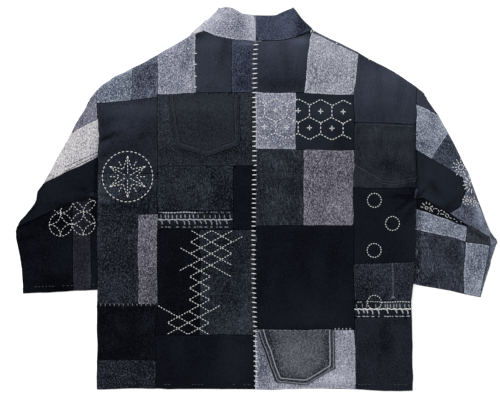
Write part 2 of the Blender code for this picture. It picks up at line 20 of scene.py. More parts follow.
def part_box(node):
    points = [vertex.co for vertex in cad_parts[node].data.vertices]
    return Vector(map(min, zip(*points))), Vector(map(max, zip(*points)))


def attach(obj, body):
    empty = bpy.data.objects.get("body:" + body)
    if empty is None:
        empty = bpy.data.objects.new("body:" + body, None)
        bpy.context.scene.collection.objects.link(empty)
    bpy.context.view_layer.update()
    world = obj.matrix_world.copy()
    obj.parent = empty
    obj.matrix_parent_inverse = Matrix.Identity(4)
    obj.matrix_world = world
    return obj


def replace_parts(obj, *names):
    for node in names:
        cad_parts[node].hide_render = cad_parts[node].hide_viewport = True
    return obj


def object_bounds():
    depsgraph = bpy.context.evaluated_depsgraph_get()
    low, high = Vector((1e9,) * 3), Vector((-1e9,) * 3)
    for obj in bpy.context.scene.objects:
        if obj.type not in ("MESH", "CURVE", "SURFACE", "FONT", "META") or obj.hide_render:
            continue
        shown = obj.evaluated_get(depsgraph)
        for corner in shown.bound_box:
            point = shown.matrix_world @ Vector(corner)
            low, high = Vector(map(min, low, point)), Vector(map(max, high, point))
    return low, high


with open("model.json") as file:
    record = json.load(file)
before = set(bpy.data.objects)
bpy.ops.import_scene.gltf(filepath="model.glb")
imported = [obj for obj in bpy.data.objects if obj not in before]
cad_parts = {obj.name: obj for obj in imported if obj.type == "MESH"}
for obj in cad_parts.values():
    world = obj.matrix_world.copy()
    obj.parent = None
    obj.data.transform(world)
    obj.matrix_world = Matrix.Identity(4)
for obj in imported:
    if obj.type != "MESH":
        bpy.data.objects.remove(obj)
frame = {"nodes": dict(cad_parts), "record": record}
cad_low, cad_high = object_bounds()
MM = 0.001
nodes = frame["nodes"]
slot_names = [entry["slot"] for entry in frame["record"]["materials"]]


def box_mm(node):
    """The low and the high corner of a solid's box, in millimetres."""
    low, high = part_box(node)
    return low / MM, high / MM


print(f"{len(nodes)} solids, {(cad_high.x - cad_low.x) / MM:.0f} mm from elbow to elbow")

# %% [markdown]
# ## Which cloth lies where
# A flat jacket is a stack of layers: the fronts and the undersides of the sleeves rest on the
# table, the forearms lie on those, and the back with the upper arms covers them all. The solids
# are named for their places, so their names sort them into layers. Working layer by layer
# matters because a crease may run over several scraps, but never from one layer to another.

# %% Sort the solids into layers
back_scraps = [name for name in nodes if name.startswith("back_")]
arm_scraps = [name for name in nodes if name.startswith("sleeve_") and "under" not in name]
forearm_scraps = [name for name in nodes if name.startswith("forearm_")]
under_cloths = [name for name in nodes if name.startswith("sleeve_") and "under" in name]
fronts = ["front_l", "front_r"]
shoulder_slips = ["front_l_shoulder_edge", "front_r_shoulder_edge"]
pockets = ["pocket_upper", "pocket_lower"]
collar_halves = ["collar_l", "collar_r"]
top_scraps = sorted(back_scraps + arm_scraps)
print(f"{len(top_scraps)} scraps on top, {len(forearm_scraps)} on the forearms")

# %% [markdown]
# ## The lie of the cloth
# The solids are faceted, and real cloth is not. Dropping a ray on the layer at each point of a
# fine grid reads its height, and averaging each height with its neighbours many times relaxes
# the facets into one smooth surface, as a sheet settles. The rim is left alone, so the cloth
# still ends where the solid does. Only the difference between the two is kept, as a correction.

# %% Read the height of a layer on a grid
CELL = 4 * MM
DOWN = Vector((0, 0, -1))
OVERHEAD = 0.1
grid_x = np.arange(cad_low.x - 3 * CELL, cad_high.x + 4 * CELL, CELL)
grid_y = np.arange(cad_low.y - 3 * CELL, cad_high.y + 4 * CELL, CELL)


def tree_of(meshes):
    """One search tree over several meshes."""
    gathered = bmesh.new()
    for mesh in meshes:
        gathered.from_mesh(mesh)
    tree = BVHTree.FromBMesh(gathered)
    gathered.free()
    return tree


def drop(tree, x, y):
    """The first place that a ray dropped from overhead at x and y meets, or None, and so on."""
    return tree.ray_cast(Vector((x, y, OVERHEAD)), DOWN)


def height_grid(names):
    """The height of the topmost of these solids at each grid point, and NaN beside them."""
    tree = tree_of([nodes[name].data for name in names])
    heights = np.full((len(grid_x), len(grid_y)), np.nan)
    for i, x in enumerate(grid_x):
        for j, y in enumerate(grid_y):
            hit = drop(tree, x, y)[0]
            if hit is not None:
                heights[i, j] = hit.z
    return heights


raw_top = height_grid(top_scraps)
raw_forearm = height_grid(forearm_scraps)
print(f"the top layer covers {np.isfinite(raw_top).sum() * CELL * CELL:.3f} square metres")

# %% [markdown]
# ## Settling
# The heights are now a table of numbers, which NumPy can average all at once. The slits of the
# seams are filled first, or each would act as a rim. A second table fades from 0 at the rim to
# 1 further in, and later keeps creases and waves away from the outer edges.

# %% Relax the facets into smooth cloth


def neighbours(grid):
    """The four neighbours of each grid point, stacked."""
    wide = np.pad(grid, 1, mode="edge")
    return np.stack([wide[:-2, 1:-1], wide[2:, 1:-1], wide[1:-1, :-2], wide[1:-1, 2:]])


def closed_gaps(heights):
    """The same heights with the slits of the seams filled in."""
    around = neighbours(heights)
    known = np.isfinite(around).sum(0)
    filled = np.where(np.isfinite(around), around, 0).sum(0) / np.maximum(known, 1)
    slit = np.isnan(heights) & (known >= 3)
    return np.where(slit, filled, heights)


def relaxed(heights, rounds):
    """How far each point moves when the layer settles, with its rim held still."""
    start = closed_gaps(heights)
    inner = np.isfinite(neighbours(start)).all(0) & np.isfinite(start)
    cloth = start.copy()
    for _ in range(rounds):
        cloth = np.where(inner, neighbours(np.nan_to_num(cloth)).mean(0), start)
    return np.nan_to_num(cloth - start)


def inland(heights, rounds=6):
    """0 on a layer's rim and 1 a couple of centimetres in."""
    here = np.isfinite(closed_gaps(heights)).astype(float)
    for _ in range(rounds):
        here = 0.5 * here + 0.5 * neighbours(here).mean(0)
    return np.clip(2 * here - 1.05, 0, 0.9) / 0.9


def read_grid(grid, x, y):
    """The grid's value at points between its own, by blending the nearest four."""
    u = np.clip((x - grid_x[0]) / CELL, 0, len(grid_x) - 1.001)
    v = np.clip((y - grid_y[0]) / CELL, 0, len(grid_y) - 1.001)
    i, j = u.astype(int), v.astype(int)
    s, t = u - i, v - j
    low = grid[i, j] * (1 - s) + grid[i + 1, j] * s
    high = grid[i, j + 1] * (1 - s) + grid[i + 1, j + 1] * s
    return low * (1 - t) + high * t


layers = {
    "top": (relaxed(raw_top, 30), inland(raw_top)),
    "forearm": (relaxed(raw_forearm, 30), inland(raw_forearm)),
}
print(f"the facets move by up to {np.abs(layers['top'][0]).max() / MM:.1f} mm")

# %% [markdown]
# ## Creases
# Washed cotton that has been laid out by hand keeps a few soft creases. They start at the
# armpits and elbows, where the cloth is pushed together, and fan out and fade from there. Each
# row below is one crease, with its two ends, its half-width and its depth. A trough is
# negative and a ridge positive, and no two are alike. A bell curve across each, tapered
# towards its ends, is gentler than a modelled fold and costs no extra points.

# %% Place the creases
#    from x, y to x, y, half-width, depth, all in millimetres
TOP_CREASES = (
    (-336, -4, -308, -23, 2.6, -2.6), (-314, -19, -262, -45, 7, -1.2),
    (-331, -3, -300, 18, 5, -0.9), (-331, 122, -276, 145, 4.5, -1.9),
    (-329, 112, -285, 126, 5, 0.9), (-328, 92, -290, 104, 7, -0.8),
    (-322, 158, -262, 182, 9, -0.9), (-250, 96, -226, 166, 10, -0.6),
    (-66, 325, -80, 252, 9, -0.8), (-36, 318, -30, 262, 8, 0.6), (58, 322, 68, 244, 10, -0.9),
    (30, 316, 22, 258, 9, 0.5), (334, -1, 266, 9, 6, -2.1), (332, -6, 290, -44, 5, 1.1),
    (330, -14, 306, -62, 6, -1.1), (334, 10, 296, 66, 8, -1.2), (256, 274, 262, 176, 9, -0.8),
    (306, 252, 294, 170, 9, -0.8), (232, 244, 230, 186, 8, 0.5), (246, 40, 300, 26, 8, -0.7),
    (-337, 70, -337, 172, 3.4, -1.2), (-337, 72, -338, -22, 3.4, -2.4),
    (337, 90, 334, 190, 3.4, -2.2), (335, 92, 336, -8, 3.4, -2.4),
    (-332, 88, -306, 95, 3.4, -1.4), (-334, -1, -306, -8, 3.4, 2.0),
    (-356, 14, -334, 2, 3.5, 2.0), (334, 2, 282, 4, 3.6, -2.6), (330, 2, 286, -30, 4.5, -2.0),
    (330, 14, 280, 40, 6, -1.4), (-272, -238, -262, -336, 14, -0.9),
    (-92, -296, -98, -392, 16, -1.0), (-164, -300, -158, -380, 12, 0.7),
    (-150, 40, -110, -10, 12, -0.7), (-60, -90, -46, -190, 13, -0.8),
    (-170, -110, -182, -210, 13, -0.7), (86, -84, 108, -206, 18, -1.1),
    (160, -110, 150, -240, 14, -0.7), (34, -150, 26, -258, 13, 0.7),
    (268, -262, 258, -386, 12, -0.9), (300, -270, 306, -350, 10, 0.6),
    (36, 60, 30, -40, 10, -0.6), (150, 70, 160, -30, 11, -0.6), (-60, 60, -70, 0, 9, 0.5),
    (-358, 20, -345, 4, 2.8, -2.2), (-344, 14, -402, 25, 5, -1.4), (-350, -1, -436, -12, 7, 1.0),
    (-458, 18, -436, 58, 6, -1.2), (-484, -32, -444, 0, 5, -1.2), (-430, 96, -396, 152, 8, -0.8),
    (-372, 108, -352, 168, 7, -0.7), (337, 0, 361, 27, 2.4, -2.3), (366, 30, 388, 4, 8, -1.8),
    (352, 6, 398, -16, 6, 0.9), (344, 38, 350, 118, 6, -0.9), (398, -22, 432, 12, 6, -1.0),
    (474, -22, 440, 32, 5, -0.9), (486, -58, 454, -18, 5, -1.0), (372, 150, 398, 102, 8, -0.8),
    (352, 128, 374, 100, 7, 0.6),
)
FOREARM_CREASES = (
    (-500, -92, -440, -70, 6, -1.3), (-492, -124, -404, -108, 9, -0.9),
    (-470, -150, -420, -180, 10, -0.7), (-380, -90, -372, -160, 8, -0.6),
    (-352, -60, -346, -150, 7, -0.6), (448, -66, 488, -92, 4, -1.3),
    (352, -62, 420, -82, 6, -0.7), (370, -96, 386, -170, 9, -0.8), (430, -110, 440, -186, 7, 0.7),
    (466, -116, 462, -186, 6, -0.7),
)
CREASES = {"top": TOP_CREASES, "forearm": FOREARM_CREASES}
print(f"{sum(len(rows) for rows in CREASES.values())} creases")

# %% [markdown]
# ## The height of a crease
# To find a crease's height at a point, the point is dropped on the crease's line: its share of
# the way along says how far the crease has faded, and its gap says how far down the bell's side
# it lies. The sum is held within limits, so that crossing creases don't pile up.

# %% Add up the creases
DEEPEST, HIGHEST = -2.6, 2.4


def beside_line(x, y, line):
    """How far along a line each point lies, from 0 to 1, and its gap from the line."""
    from_x, from_y, to_x, to_y = line
    run_x, run_y = to_x - from_x, to_y - from_y
    share = ((x - from_x) * run_x + (y - from_y) * run_y) / (run_x**2 + run_y**2)
    share = np.clip(share, 0, 1)
    return share, np.hypot(x - from_x - share * run_x, y - from_y - share * run_y)


def creases_at(x, y, rows):
    """The summed height of these creases at points given in millimetres."""
    total = np.zeros_like(x)
    for *line, width, depth in rows:
        share, gap = beside_line(x, y, line)
        fading = np.clip(1.25 * (1 - share**2), 0, 1)
        total += depth * fading * np.exp(-((gap / width) ** 2))
    return np.clip(total, DEEPEST, HIGHEST)


fold = creases_at(np.array([-270.0]), np.array([140.0]), TOP_CREASES)
print(f"near the left shoulder blade the creases add {fold[0]:.1f} mm")

# %% [markdown]
# ## Rumple
# Between its creases the cloth is never quite level. Layers that were washed together shrink
# unevenly, so the surface is covered in shallow waves a few centimetres long. Smooth noise
# gives them, in two sizes. The same noise makes the seams pucker.

# %% Shallow waves


def wave_at(x, y, length, seed):
    """Smooth noise from -1 to 1 at points in millimetres, with waves of about this length."""
    return np.array(
        [noise.noise(Vector((at_x, at_y, seed))) for at_x, at_y in zip(x / length, y / length)]
    )


def relief_at(x, y, layer):
    """How far the laid cloth stands above the plain form, in millimetres."""
    waves = 0.9 * wave_at(x, y, 42, 3.1) + 0.5 * wave_at(x, y, 17, 8.7)
    return waves + creases_at(x, y, CREASES[layer])


sample = relief_at(np.linspace(-300, 300, 400), np.linspace(-350, 300, 400), "top")
print(f"the relief runs from {sample.min():.1f} to {sample.max():.1f} mm")

# %% [markdown]
# ## One scrap of cloth
# A scrap starts as the upper skin of its solid: the solid is copied, its doubled points are
# merged, and the faces that look down or sideways are deleted. Cutting each facet into small
# ones gives the cloth enough points to bend. Then every point moves to its place in the relaxed
# layer, sinks a little near the scrap's own edge, where the seam pulls it down, and takes its
# share of creases. Three numbers are stored on each point for the dye and the painted light and
# shade later: its distance from the edge, its fading with its painted light and shade, and its
# place along the grain.

# %% Lift the skin off a solid
#    how often each kind of facet is cut
SCRAP_CUTS, POCKET_CUTS, UNDER_CUTS, COLLAR_CUTS = 6, 3, 4, 3
SAME_PLACE = 0.01 * MM
#    a face whose normal rises more than this looks up
LOOKS_UP = 0.3


def merged_copy(node):
    """A copy of a solid with its doubled points merged."""
    copy = bmesh.new()
    copy.from_mesh(nodes[node].data)
    bmesh.ops.remove_doubles(copy, verts=copy.verts, dist=SAME_PLACE)
    return copy


def upper_skin(node, cuts):
    """A mesh of the upper face of a solid, cut fine, and the edge runs of that face."""
    skin = merged_copy(node)
    hidden = [face for face in skin.faces if face.normal.z < LOOKS_UP]
    bmesh.ops.delete(skin, geom=hidden, context="FACES")
    rim = np.array(
        [(*e.verts[0].co.xy, *e.verts[1].co.xy) for e in skin.edges if e.is_boundary]
    )
    bmesh.ops.subdivide_edges(skin, edges=skin.edges[:], cuts=cuts, use_grid_fill=True)
    return skin, rim / MM


def distance_to_rim(x, y, rim):
    """The distance of each point to the nearest stretch of the rim, in millimetres."""
    nearest = np.full(len(x), 1e9)
    for line in rim:
        nearest = np.minimum(nearest, beside_line(x, y, line)[1])
    return nearest


skin, rim = upper_skin("back_l_hem_navy", SCRAP_CUTS)
print(f"a scrap of {len(skin.faces)} small faces with {len(rim)} stretches of rim")
skin.free()

# %% [markdown]
# ## Fading
# No two scraps come from the same garment, and none is evenly dyed. Faded denim is a mixture of
# its deep and its bleached threads, so its fading can be written as one number, the share of
# bleached thread. Each kind of cloth has its usual share, most scraps differ a little from it,
# and soft clouds mark where a scrap was rubbed or kept its dye, and also where light and shade
# are painted on it. All are written down.
# Storing the share on the points lets one recipe for denim serve every scrap.

# %% Which cloth each scrap is cut from
cloth_of = {}
for name, solid in nodes.items():
    named = [material.name.split(".")[0] for material in solid.data.materials if material]
    cloth_of[name] = next(slot for slot in named if slot in slot_names)
SHARE = {
    "black": 0.15, "navy": 0.28, "indigo": 0.17, "charcoal": 0.16, "coal": 0.16, "soot": 0.115,
    "denim_dark": 0.085, "slate": 0.12, "lilac": 0.21, "ash": 0.27, "mist": 0.33, "pale": 0.42,
    "seam_strip": 0.12, "under": 0.2,
}
print(f"{len(set(cloth_of.values()))} kinds of cloth")

# %% How far each scrap differs
DIFFERENCE = {
    "back_l_lattice_black": -0.06, "back_r_side_black": 0.08, "sleeve_l_elbow_black": 0.06,
    "sleeve_r_elbow_black": 0.34, "sleeve_l_upper_white": 0.24, "forearm_r_elbow_black": -0.05,
    "pocket_upper": 0.02, "back_r_hexagon_black": 0.33, "forearm_l_outer_black": -0.06,
    "sleeve_r_under": 0.14, "back_l_low_ash": -0.05, "back_l_low_slate": -0.03,
    "back_l_hem_slate": -0.025, "back_l_blade_navy": -0.12, "back_l_yoke_pale": -0.03,
    "back_l_shoulder_slate": -0.02, "back_l_hem_navy": -0.28, "back_r_hem_navy": -0.13,
    "sleeve_r_cap_navy": 0.15, "back_r_shoulder_navy": 0.05, "back_r_yoke_navy": 0.03,
    "back_l_yoke_navy": 0.02, "back_r_hem_ash": 0.07, "pocket_lower": -0.035, "collar_r": 0.07,
    "back_r_side_denim": 0.05, "forearm_r_inner_denim": 0.12, "sleeve_l_cap_slate": 0.11,
    "sleeve_r_elbow_slate": 0.03, "collar_l": 0.1, "back_l_shoulder_pale": -0.16,
    "forearm_r_upper_pale": -0.1, "forearm_r_outer_pale": -0.07, "sleeve_r_upper_pale": -0.1,
    "front_l_shoulder_edge": 0.1,
}
print(f"{len(DIFFERENCE)} scraps differ from their kind")

# %% [markdown]
# ## Clouds and bands
# A cloud is a soft oval where a scrap is more bleached or less: along a worn edge, over a
# shoulder blade. Many clouds are painted light and shade instead: painted shadow under the folds
# of the elbows and where the right forearm tucks under the body, painted highlights along the left
# shoulder line, on the collar, on the armpit pleats and along the rolled rim of the right elbow,
# and painted light that lifts the shadow under the collar's edge. A band is sharp on one side,
# where the dye stops at a line, such as a facing that was let out. Two bands paint shade instead:
# a shadow line where the right forearm's outer rim rolls over, and the darker face of the right
# collar's fold. The skin is cut along each band, because a value stored on points can only be as
# sharp as the points are close.

# %% Clouds and bands by scrap
#       for each scrap: centre x, y, half-sizes, more or less bleached or painted lighter or darker
CLOUDS_WITH_PAINTED_LIGHT = {
    # painted highlight along the shoulder line: the second cloud
    "back_l_shoulder_pale": (
        (-268, 248, 16, 30, -0.4), (-266, 268, 30, 7, 0.6), (-294, 224, 26, 14, -0.55),
    ),
    # painted highlight along the shoulder line: the last two clouds
    "back_l_shoulder_slate": (
        (-236, 258, 26, 13, -0.5), (-228, 224, 22, 10, 0.4), (-224, 290, 30, 7, 0.9),
        (-205, 304, 26, 8, 0.8),
    ),
    # painted highlight along the shoulder line: the first cloud
    "back_l_yoke_pale": ((-180, 318, 40, 7, 0.6), (-146, 300, 14, 30, -0.45)),
    "back_l_yoke_navy": ((-126, 342, 12, 8, -0.5), (-90, 322, 30, 18, 0.3)),
    # painted light that lifts the shadow under the collar's edge: the last cloud
    "back_l_yoke_indigo": (
        (-30, 320, 28, 16, 0.2), (-38, 248, 22, 18, -0.45), (-20, 262, 24, 40, -0.35),
        (-20, 326, 24, 6, 0.8),
    ),
    # painted light that lifts the shadow under the collar's edge: the last cloud
    "back_r_yoke_navy": ((45, 322, 60, 24, 0.5), (60, 240, 60, 24, -0.4), (95, 333, 20, 9, 0.9)),
    "back_r_yoke_pale": (
        (196, 300, 14, 40, 0.25), (140, 330, 26, 20, 0.25), (122, 256, 14, 26, -0.3),
        (156, 300, 30, 14, 0.3),
    ),
    "back_r_shoulder_navy": (
        (300, 258, 60, 30, 0.6), (250, 180, 60, 30, -0.2), (268, 206, 44, 22, 0.25),
    ),
    "back_l_blade_navy": ((-250, 190, 60, 16, 0.6), (-290, 158, 44, 26, 0.35)),
    # painted highlight on the armpit pleat and painted shadow under it: the fifth and sixth clouds
    "back_l_waist_soot": (
        (-312, 20, 22, 18, 0.6), (-240, 28, 26, 18, 0.3), (-270, -20, 50, 12, -0.75),
        (-331, -12, 3, 12, 1.1), (-323, -5, 12, 2.6, 0.8), (-318, -17, 10, 5, -0.9),
        (-331, 22, 3, 26, 1.0),
    ),
    "back_l_low_slate": (
        (-331, -56, 3, 44, 0.9), (-330, -110, 7, 80, 0.8), (-290, -180, 30, 30, 0.2),
    ),
    "back_l_middle_soot": ((-74, 4, 28, 30, -0.9), (-158, 34, 36, 22, 0.45)),
    "back_l_pocket_panel": (
        (-186, 186, 18, 30, 0.8), (-110, 208, 90, 7, 0.5), (-26, 192, 16, 28, 0.6),
        (-110, 98, 110, 12, -0.5),
    ),
    "pocket_upper": (
        (-110, 194, 60, 14, 0.35), (-110, 160, 40, 40, -0.25), (-100, 134, 46, 18, -0.3),
    ),
    "back_l_low_ash": ((-222, -190, 10, 50, -0.4), (-238, -86, 9, 34, 0.3)),
    "back_l_hem_black": ((-45, -338, 56, 70, 0.9),),
    "back_l_lattice_soot": (
        (-50, -262, 60, 30, 0.5), (-110, -110, 50, 40, -0.3), (-56, -217, 16, 14, 0.5),
        (-24, -240, 14, 50, 0.4), (-70, -90, 60, 30, -0.4),
    ),
    "back_r_middle_coal": (
        (26, 82, 24, 20, 0.3), (76, -10, 16, 50, -0.35), (30, -24, 16, 30, 0.5),
    ),
    "back_r_middle_lilac": (
        (116, 30, 14, 60, -0.15), (166, -16, 36, 32, 0.45), (170, 44, 40, 18, -0.2),
    ),
    "back_r_low_black": ((140, -200, 90, 70, 0.4), (110, -256, 110, 26, 0.5)),
    "back_r_side_coal": (
        (290, 136, 70, 14, 0.4), (300, 98, 40, 24, 0.4), (254, 68, 50, 15, -0.4),
    ),
    "back_r_side_black": ((330, -80, 26, 70, 0.4),),
    "back_r_hexagon_ash": ((56, 130, 46, 18, -0.5),),
    "back_r_hexagon_black": ((150, 186, 60, 18, 0.5), (180, 128, 24, 40, -0.3)),
    "back_r_side_denim": ((300, -160, 24, 34, 0.3), (230, -190, 30, 20, -0.3)),
    "back_r_hem_ash": (
        (185, -330, 16, 50, 0.1), (12, -344, 13, 50, -0.7), (160, -386, 30, 12, 0.35),
        (26, -322, 13, 34, -0.6), (8, -288, 12, 22, -0.7), (170, -372, 40, 16, 0.3),
    ),
    # the first, third, fourth and fifth clouds: the elbow's rolled rim, rubbed pale and with a
    # painted highlight; the last cloud: painted shadow along the elbow's fold
    "sleeve_r_elbow_slate": (
        (470, -30, 12, 40, 1.0), (440, 40, 12, 22, 0.6), (466, -22, 7, 12, 0.6),
        (476, -44, 7, 13, 0.8), (488, -66, 8, 14, 1.0), (440, -62, 36, 7, -0.4),
    ),
    # painted highlight along the upper rim: the second cloud
    "sleeve_r_upper_pale": (
        (346, 180, 12, 30, 0.3), (386, 152, 9, 34, 0.7), (356, 114, 18, 18, -0.5),
    ),
    "sleeve_r_upper_indigo": ((432, 60, 14, 14, 0.8),),
    # painted shadow where the forearm tucks under the body: the last cloud
    "forearm_r_inner_denim": (
        (380, -130, 20, 40, 0.5), (350, -170, 24, 20, -0.4), (339, -120, 5, 60, -0.7),
    ),
    # painted shadow where the forearm tucks under the body
    "forearm_r_upper_pale": ((340, -50, 6, 34, -0.8),),
    "forearm_r_outer_pale": (
        (458, -118, 14, 20, 0.4), (466, -176, 12, 14, 0.4), (452, -146, 18, 7, -0.2),
        (470, -110, 14, 40, -0.25),
    ),
    # painted shadow under the elbow's fold: the second cloud
    "forearm_l_strip_denim": (
        (-367, -40, 60, 34, -0.75), (-360, -12, 40, 14, -0.7), (-352, -130, 3, 60, 0.9),
    ),
    # painted shadow under the elbow's fold
    "forearm_l_inner_black": ((-346, -20, 30, 24, -0.6),),
    # painted shadow under the elbow's fold: the last cloud
    "forearm_l_outer_black": (
        (-395, -112, 50, 36, 0.7), (-430, -178, 70, 16, -0.6), (-430, -50, 70, 14, -0.8),
    ),
    "sleeve_l_upper_white": ((-372, 78, 34, 8, -0.12), (-420, 44, 24, 14, -0.25)),
    "back_l_felled_strip": (
        (-163, -34, 36, 7, 0.9), (-150, -50, 60, 6, 0.5), (-182, -44, 30, 9, 0.5),
    ),
    "back_r_felled_strip": (
        (293, -222, 36, 7, 1.8), (286, -212, 40, 9, 0.8), (224, -240, 26, 7, 1.0),
        (282, -228, 50, 9, 0.8), (280, -250, 60, 6, 1.2),
    ),
    "pocket_lower": (
        (84, -330, 44, 34, 0.55), (36, -300, 20, 20, -0.3), (14, -306, 13, 34, -0.6),
        (30, -350, 12, 24, -0.4), (108, -372, 26, 14, 0.3), (10, -284, 14, 14, -0.7),
    ),
    # painted highlight on the rounded end of the collar: the third cloud
    "collar_l": (
        (-36, 366, 9, 26, -0.7), (-60, 350, 26, 20, -0.3), (-82, 384, 13, 13, 0.5),
        (-100, 362, 12, 12, 0.3), (-10, 366, 6, 30, 0.3),
    ),
    "collar_r": ((62, 360, 20, 20, 0.3), (98, 352, 14, 30, -0.25), (112, 343, 10, 12, 0.4)),
    # painted highlight on the armpit pleat: the first two clouds; painted shade along the elbow's
    # fold: the last two
    "sleeve_l_elbow_black": (
        (-353, 18, 5, 3.5, 1.2), (-346, 9, 5, 4, 1.0), (-400, -14, 60, 10, -0.5),
        (-360, -1, 26, 7, -0.5),
    ),
    # painted shadow along the elbow's fold
    "sleeve_r_elbow_black": ((380, -26, 50, 12, -0.4),),
}
CLOUD_REACH = 1.3
BAND_EDGE = 0.9
#    scrap, a line from x, y to x, y, and how the cloth to the left of its run differs
BANDS = (
    # a painted shadow line where the outer rim rolls over, then the darker rolled cloth: these two
    # bands
    ("forearm_r_outer_pale", 487, -95, 467, -205, -0.5),
    ("forearm_r_outer_pale", 490, -95, 470, -205, 0.2),
    ("forearm_r_elbow_black", 490.5, -70, 489.5, -110, 0.45),
    ("sleeve_r_elbow_slate", 497, -70, 489, -77, -0.1),
    # painted shade on the far face of the collar's fold
    ("collar_r", 88, 396, 77, 345, -0.13),
)


def left_of(x, y, band):
    """How far points lie to the left of a band's line, in millimetres."""
    _, from_x, from_y, to_x, to_y, _ = band
    run_x, run_y = to_x - from_x, to_y - from_y
    return ((y - from_y) * run_x - (x - from_x) * run_y) / math.hypot(run_x, run_y)


def cut_bands(skin, node):
    """Cuts a skin along its bands, twice and close together, so that they end sharply."""
    for band in BANDS:
        if band[0] != node:
            continue
        _, from_x, from_y, to_x, to_y, _ = band
        across = Vector((from_y - to_y, to_x - from_x, 0)).normalized()
        for step in (0, BAND_EDGE):
            start = Vector((from_x, from_y, 0)) + across * step
            everything = skin.verts[:] + skin.edges[:] + skin.faces[:]
            bmesh.ops.bisect_plane(skin, geom=everything, plane_co=start * MM, plane_no=across)


def bleach_and_painted_light(node, x, y):
    """The share of bleached thread in a scrap at points in millimetres, with the painted light and
    shade of its clouds and bands.
    """
    share = np.full(len(x), SHARE[cloth_of[node]] + DIFFERENCE.get(node, 0.0))
    for centre_x, centre_y, half_x, half_y, amount in CLOUDS_WITH_PAINTED_LIGHT.get(node, ()):
        away = ((x - centre_x) / half_x) ** 2 + ((y - centre_y) / half_y) ** 2
        share *= 1 + CLOUD_REACH * amount * np.exp(-away)
    for band in BANDS:
        if band[0] == node:
            share += band[-1] * np.clip(left_of(x, y, band) / BAND_EDGE, 0, 1)
    return share


cloud_count = sum(len(clouds) for clouds in CLOUDS_WITH_PAINTED_LIGHT.values())
print(f"{cloud_count} clouds and {len(BANDS)} bands")

# %% [markdown]
# ## Grain
# Denim fades in streaks along its warp, so the streaks must follow the way each scrap was cut.
# On the body the warp runs down the back. On the sleeves it runs along the arm. Each scrap
# gets its own shift as well, or the speckle would carry on across the seams.

# %% The run of the grain
GRAIN = {
    "sleeve_l": -28,
    "sleeve_r": 30,
    "forearm_l": 3,
    "forearm_r": -13,
    "collar": 90,
    "back_l_felled": 90,
    "back_r_felled": 90,
}


def to_warp(node, x, y):
    """A level place or step, seen across and along the warp of a scrap."""
    turn = math.radians(next((v for k, v in GRAIN.items() if node.startswith(k)), 0))
    return (
        x * math.cos(turn) + y * math.sin(turn),
        y * math.cos(turn) - x * math.sin(turn),
    )


def grain_at(node, x, y):
    """Each point's place across and along the warp, in metres, shifted for each scrap."""
    shift = 0.37 * (1 + sorted(nodes).index(node))
    across, along = to_warp(node, x, y)
    return across * MM + shift, along * MM - shift


print(f"{len(GRAIN)} ways of the grain, besides the plain one")

# %% [markdown]
# ## Laying a scrap
# All that was worked out so far now meets in one function. Along every seam the cloth dips
# sharply and puckers a little, because stitches pull it down and layers of seam allowance push
# it up beside them. The creases also change the colour: a crest is made paler, partly rubbed and
# partly a painted highlight, and a trough darker, partly dye that stayed and partly painted shade.

# %% Lay a scrap in its layer


def store(skin, node, x, y, edge, share):
    """Writes the numbers for the dye and the painted light and shade on every point: distance from
    the edge, share and grain.
    """
    across, along = grain_at(node, x, y)
    # The bleached share stored here carries painted light and shade as well, from clouds, bands and
    # creases.
    edge_store, share_store = (skin.verts.layers.float.new(n) for n in ("edge", "bleached"))
    grain_store = skin.verts.layers.float_vector.new("grain")
    for i, vert in enumerate(skin.verts):
        vert[edge_store] = edge[i]
        vert[share_store] = share[i]
        vert[grain_store] = Vector((across[i], along[i], vert.co.z))


def points_of(skin):
    """The points of a skin in millimetres, as rows of x, y and z."""
    return np.array([v.co for v in skin.verts]).T / MM


def lay(skin, node, layer, rim):
    """Moves a skin to its place in the relaxed layer and stores what the dye and the painted light
    and shade need.
    """
    x, y, z = points_of(skin)
    if node in pockets:
        open_top = rim[:, 1].max() - 4
        rim = rim[(rim[:, 1] < open_top) | (rim[:, 3] < open_top)]
    edge = distance_to_rim(x, y, rim)
    settle, inland_share = (read_grid(grid, x * MM, y * MM) for grid in layers[layer])
    pucker = 0.55 + 0.45 * wave_at(x, y, 11, 5.5)
    seam = -0.5 * np.exp(-edge / 2.2) - 0.75 * pucker * np.exp(-edge / 8)
    if node in pockets:
        seam = -0.2 * np.exp(-edge / 2.2)
    z += settle / MM + inland_share * (relief_at(x, y, layer) + seam)
    for vert, height in zip(skin.verts, z):
        vert.co.z = height * MM
    # Painted light and shade on the creases, besides their rubbing: crests paler, troughs darker.
    crease_wear_and_shade = np.clip(creases_at(x, y, CREASES[layer]), -2, 1.6)
    share = bleach_and_painted_light(node, x, y) * (1 + 0.22 * crease_wear_and_shade) + 0.025 * crease_wear_and_shade
    store(skin, node, x, y, edge, share)


print(f"scraps are laid in {len(layers)} layers")

# %% [markdown]
# ## Folded edges
# At the sides of the body and along the sleeves the cloth turns over a soft edge, and at the
# elbows it folds right under itself. A cut-off sheet would look like card there. The open rim
# of a scrap is extruded in small steps round an arc: a quarter turn at an outer edge, and half
# a turn with a tail at an elbow fold. The hem and the cuffs stay as two edges one on the other,
# as on a real jacket.

# %% Roll a free rim over
ELBOW_BEND, SIDE_BEND = 1.75 * MM, 1.5 * MM
#    the room behind a bend and behind a tail, and a tail's least length
CLEARANCE, BEHIND_TAIL, SHORTEST_TAIL = 1.2 * MM, 4 * MM, 0.5 * MM
top_tree = tree_of([nodes[name].data for name in top_scraps])
forearm_tree = tree_of([nodes[name].data for name in forearm_scraps])


def outward(edge):
    """The level direction out of the cloth at a rim edge."""
    first, second = edge.verts
    run = (second.co - first.co).normalized()
    side = Vector((run.y, -run.x, 0)).normalized()
    inner = edge.link_faces[0].calc_center_median() - (first.co + second.co) / 2
    return side if side.dot(inner) < 0 else -side


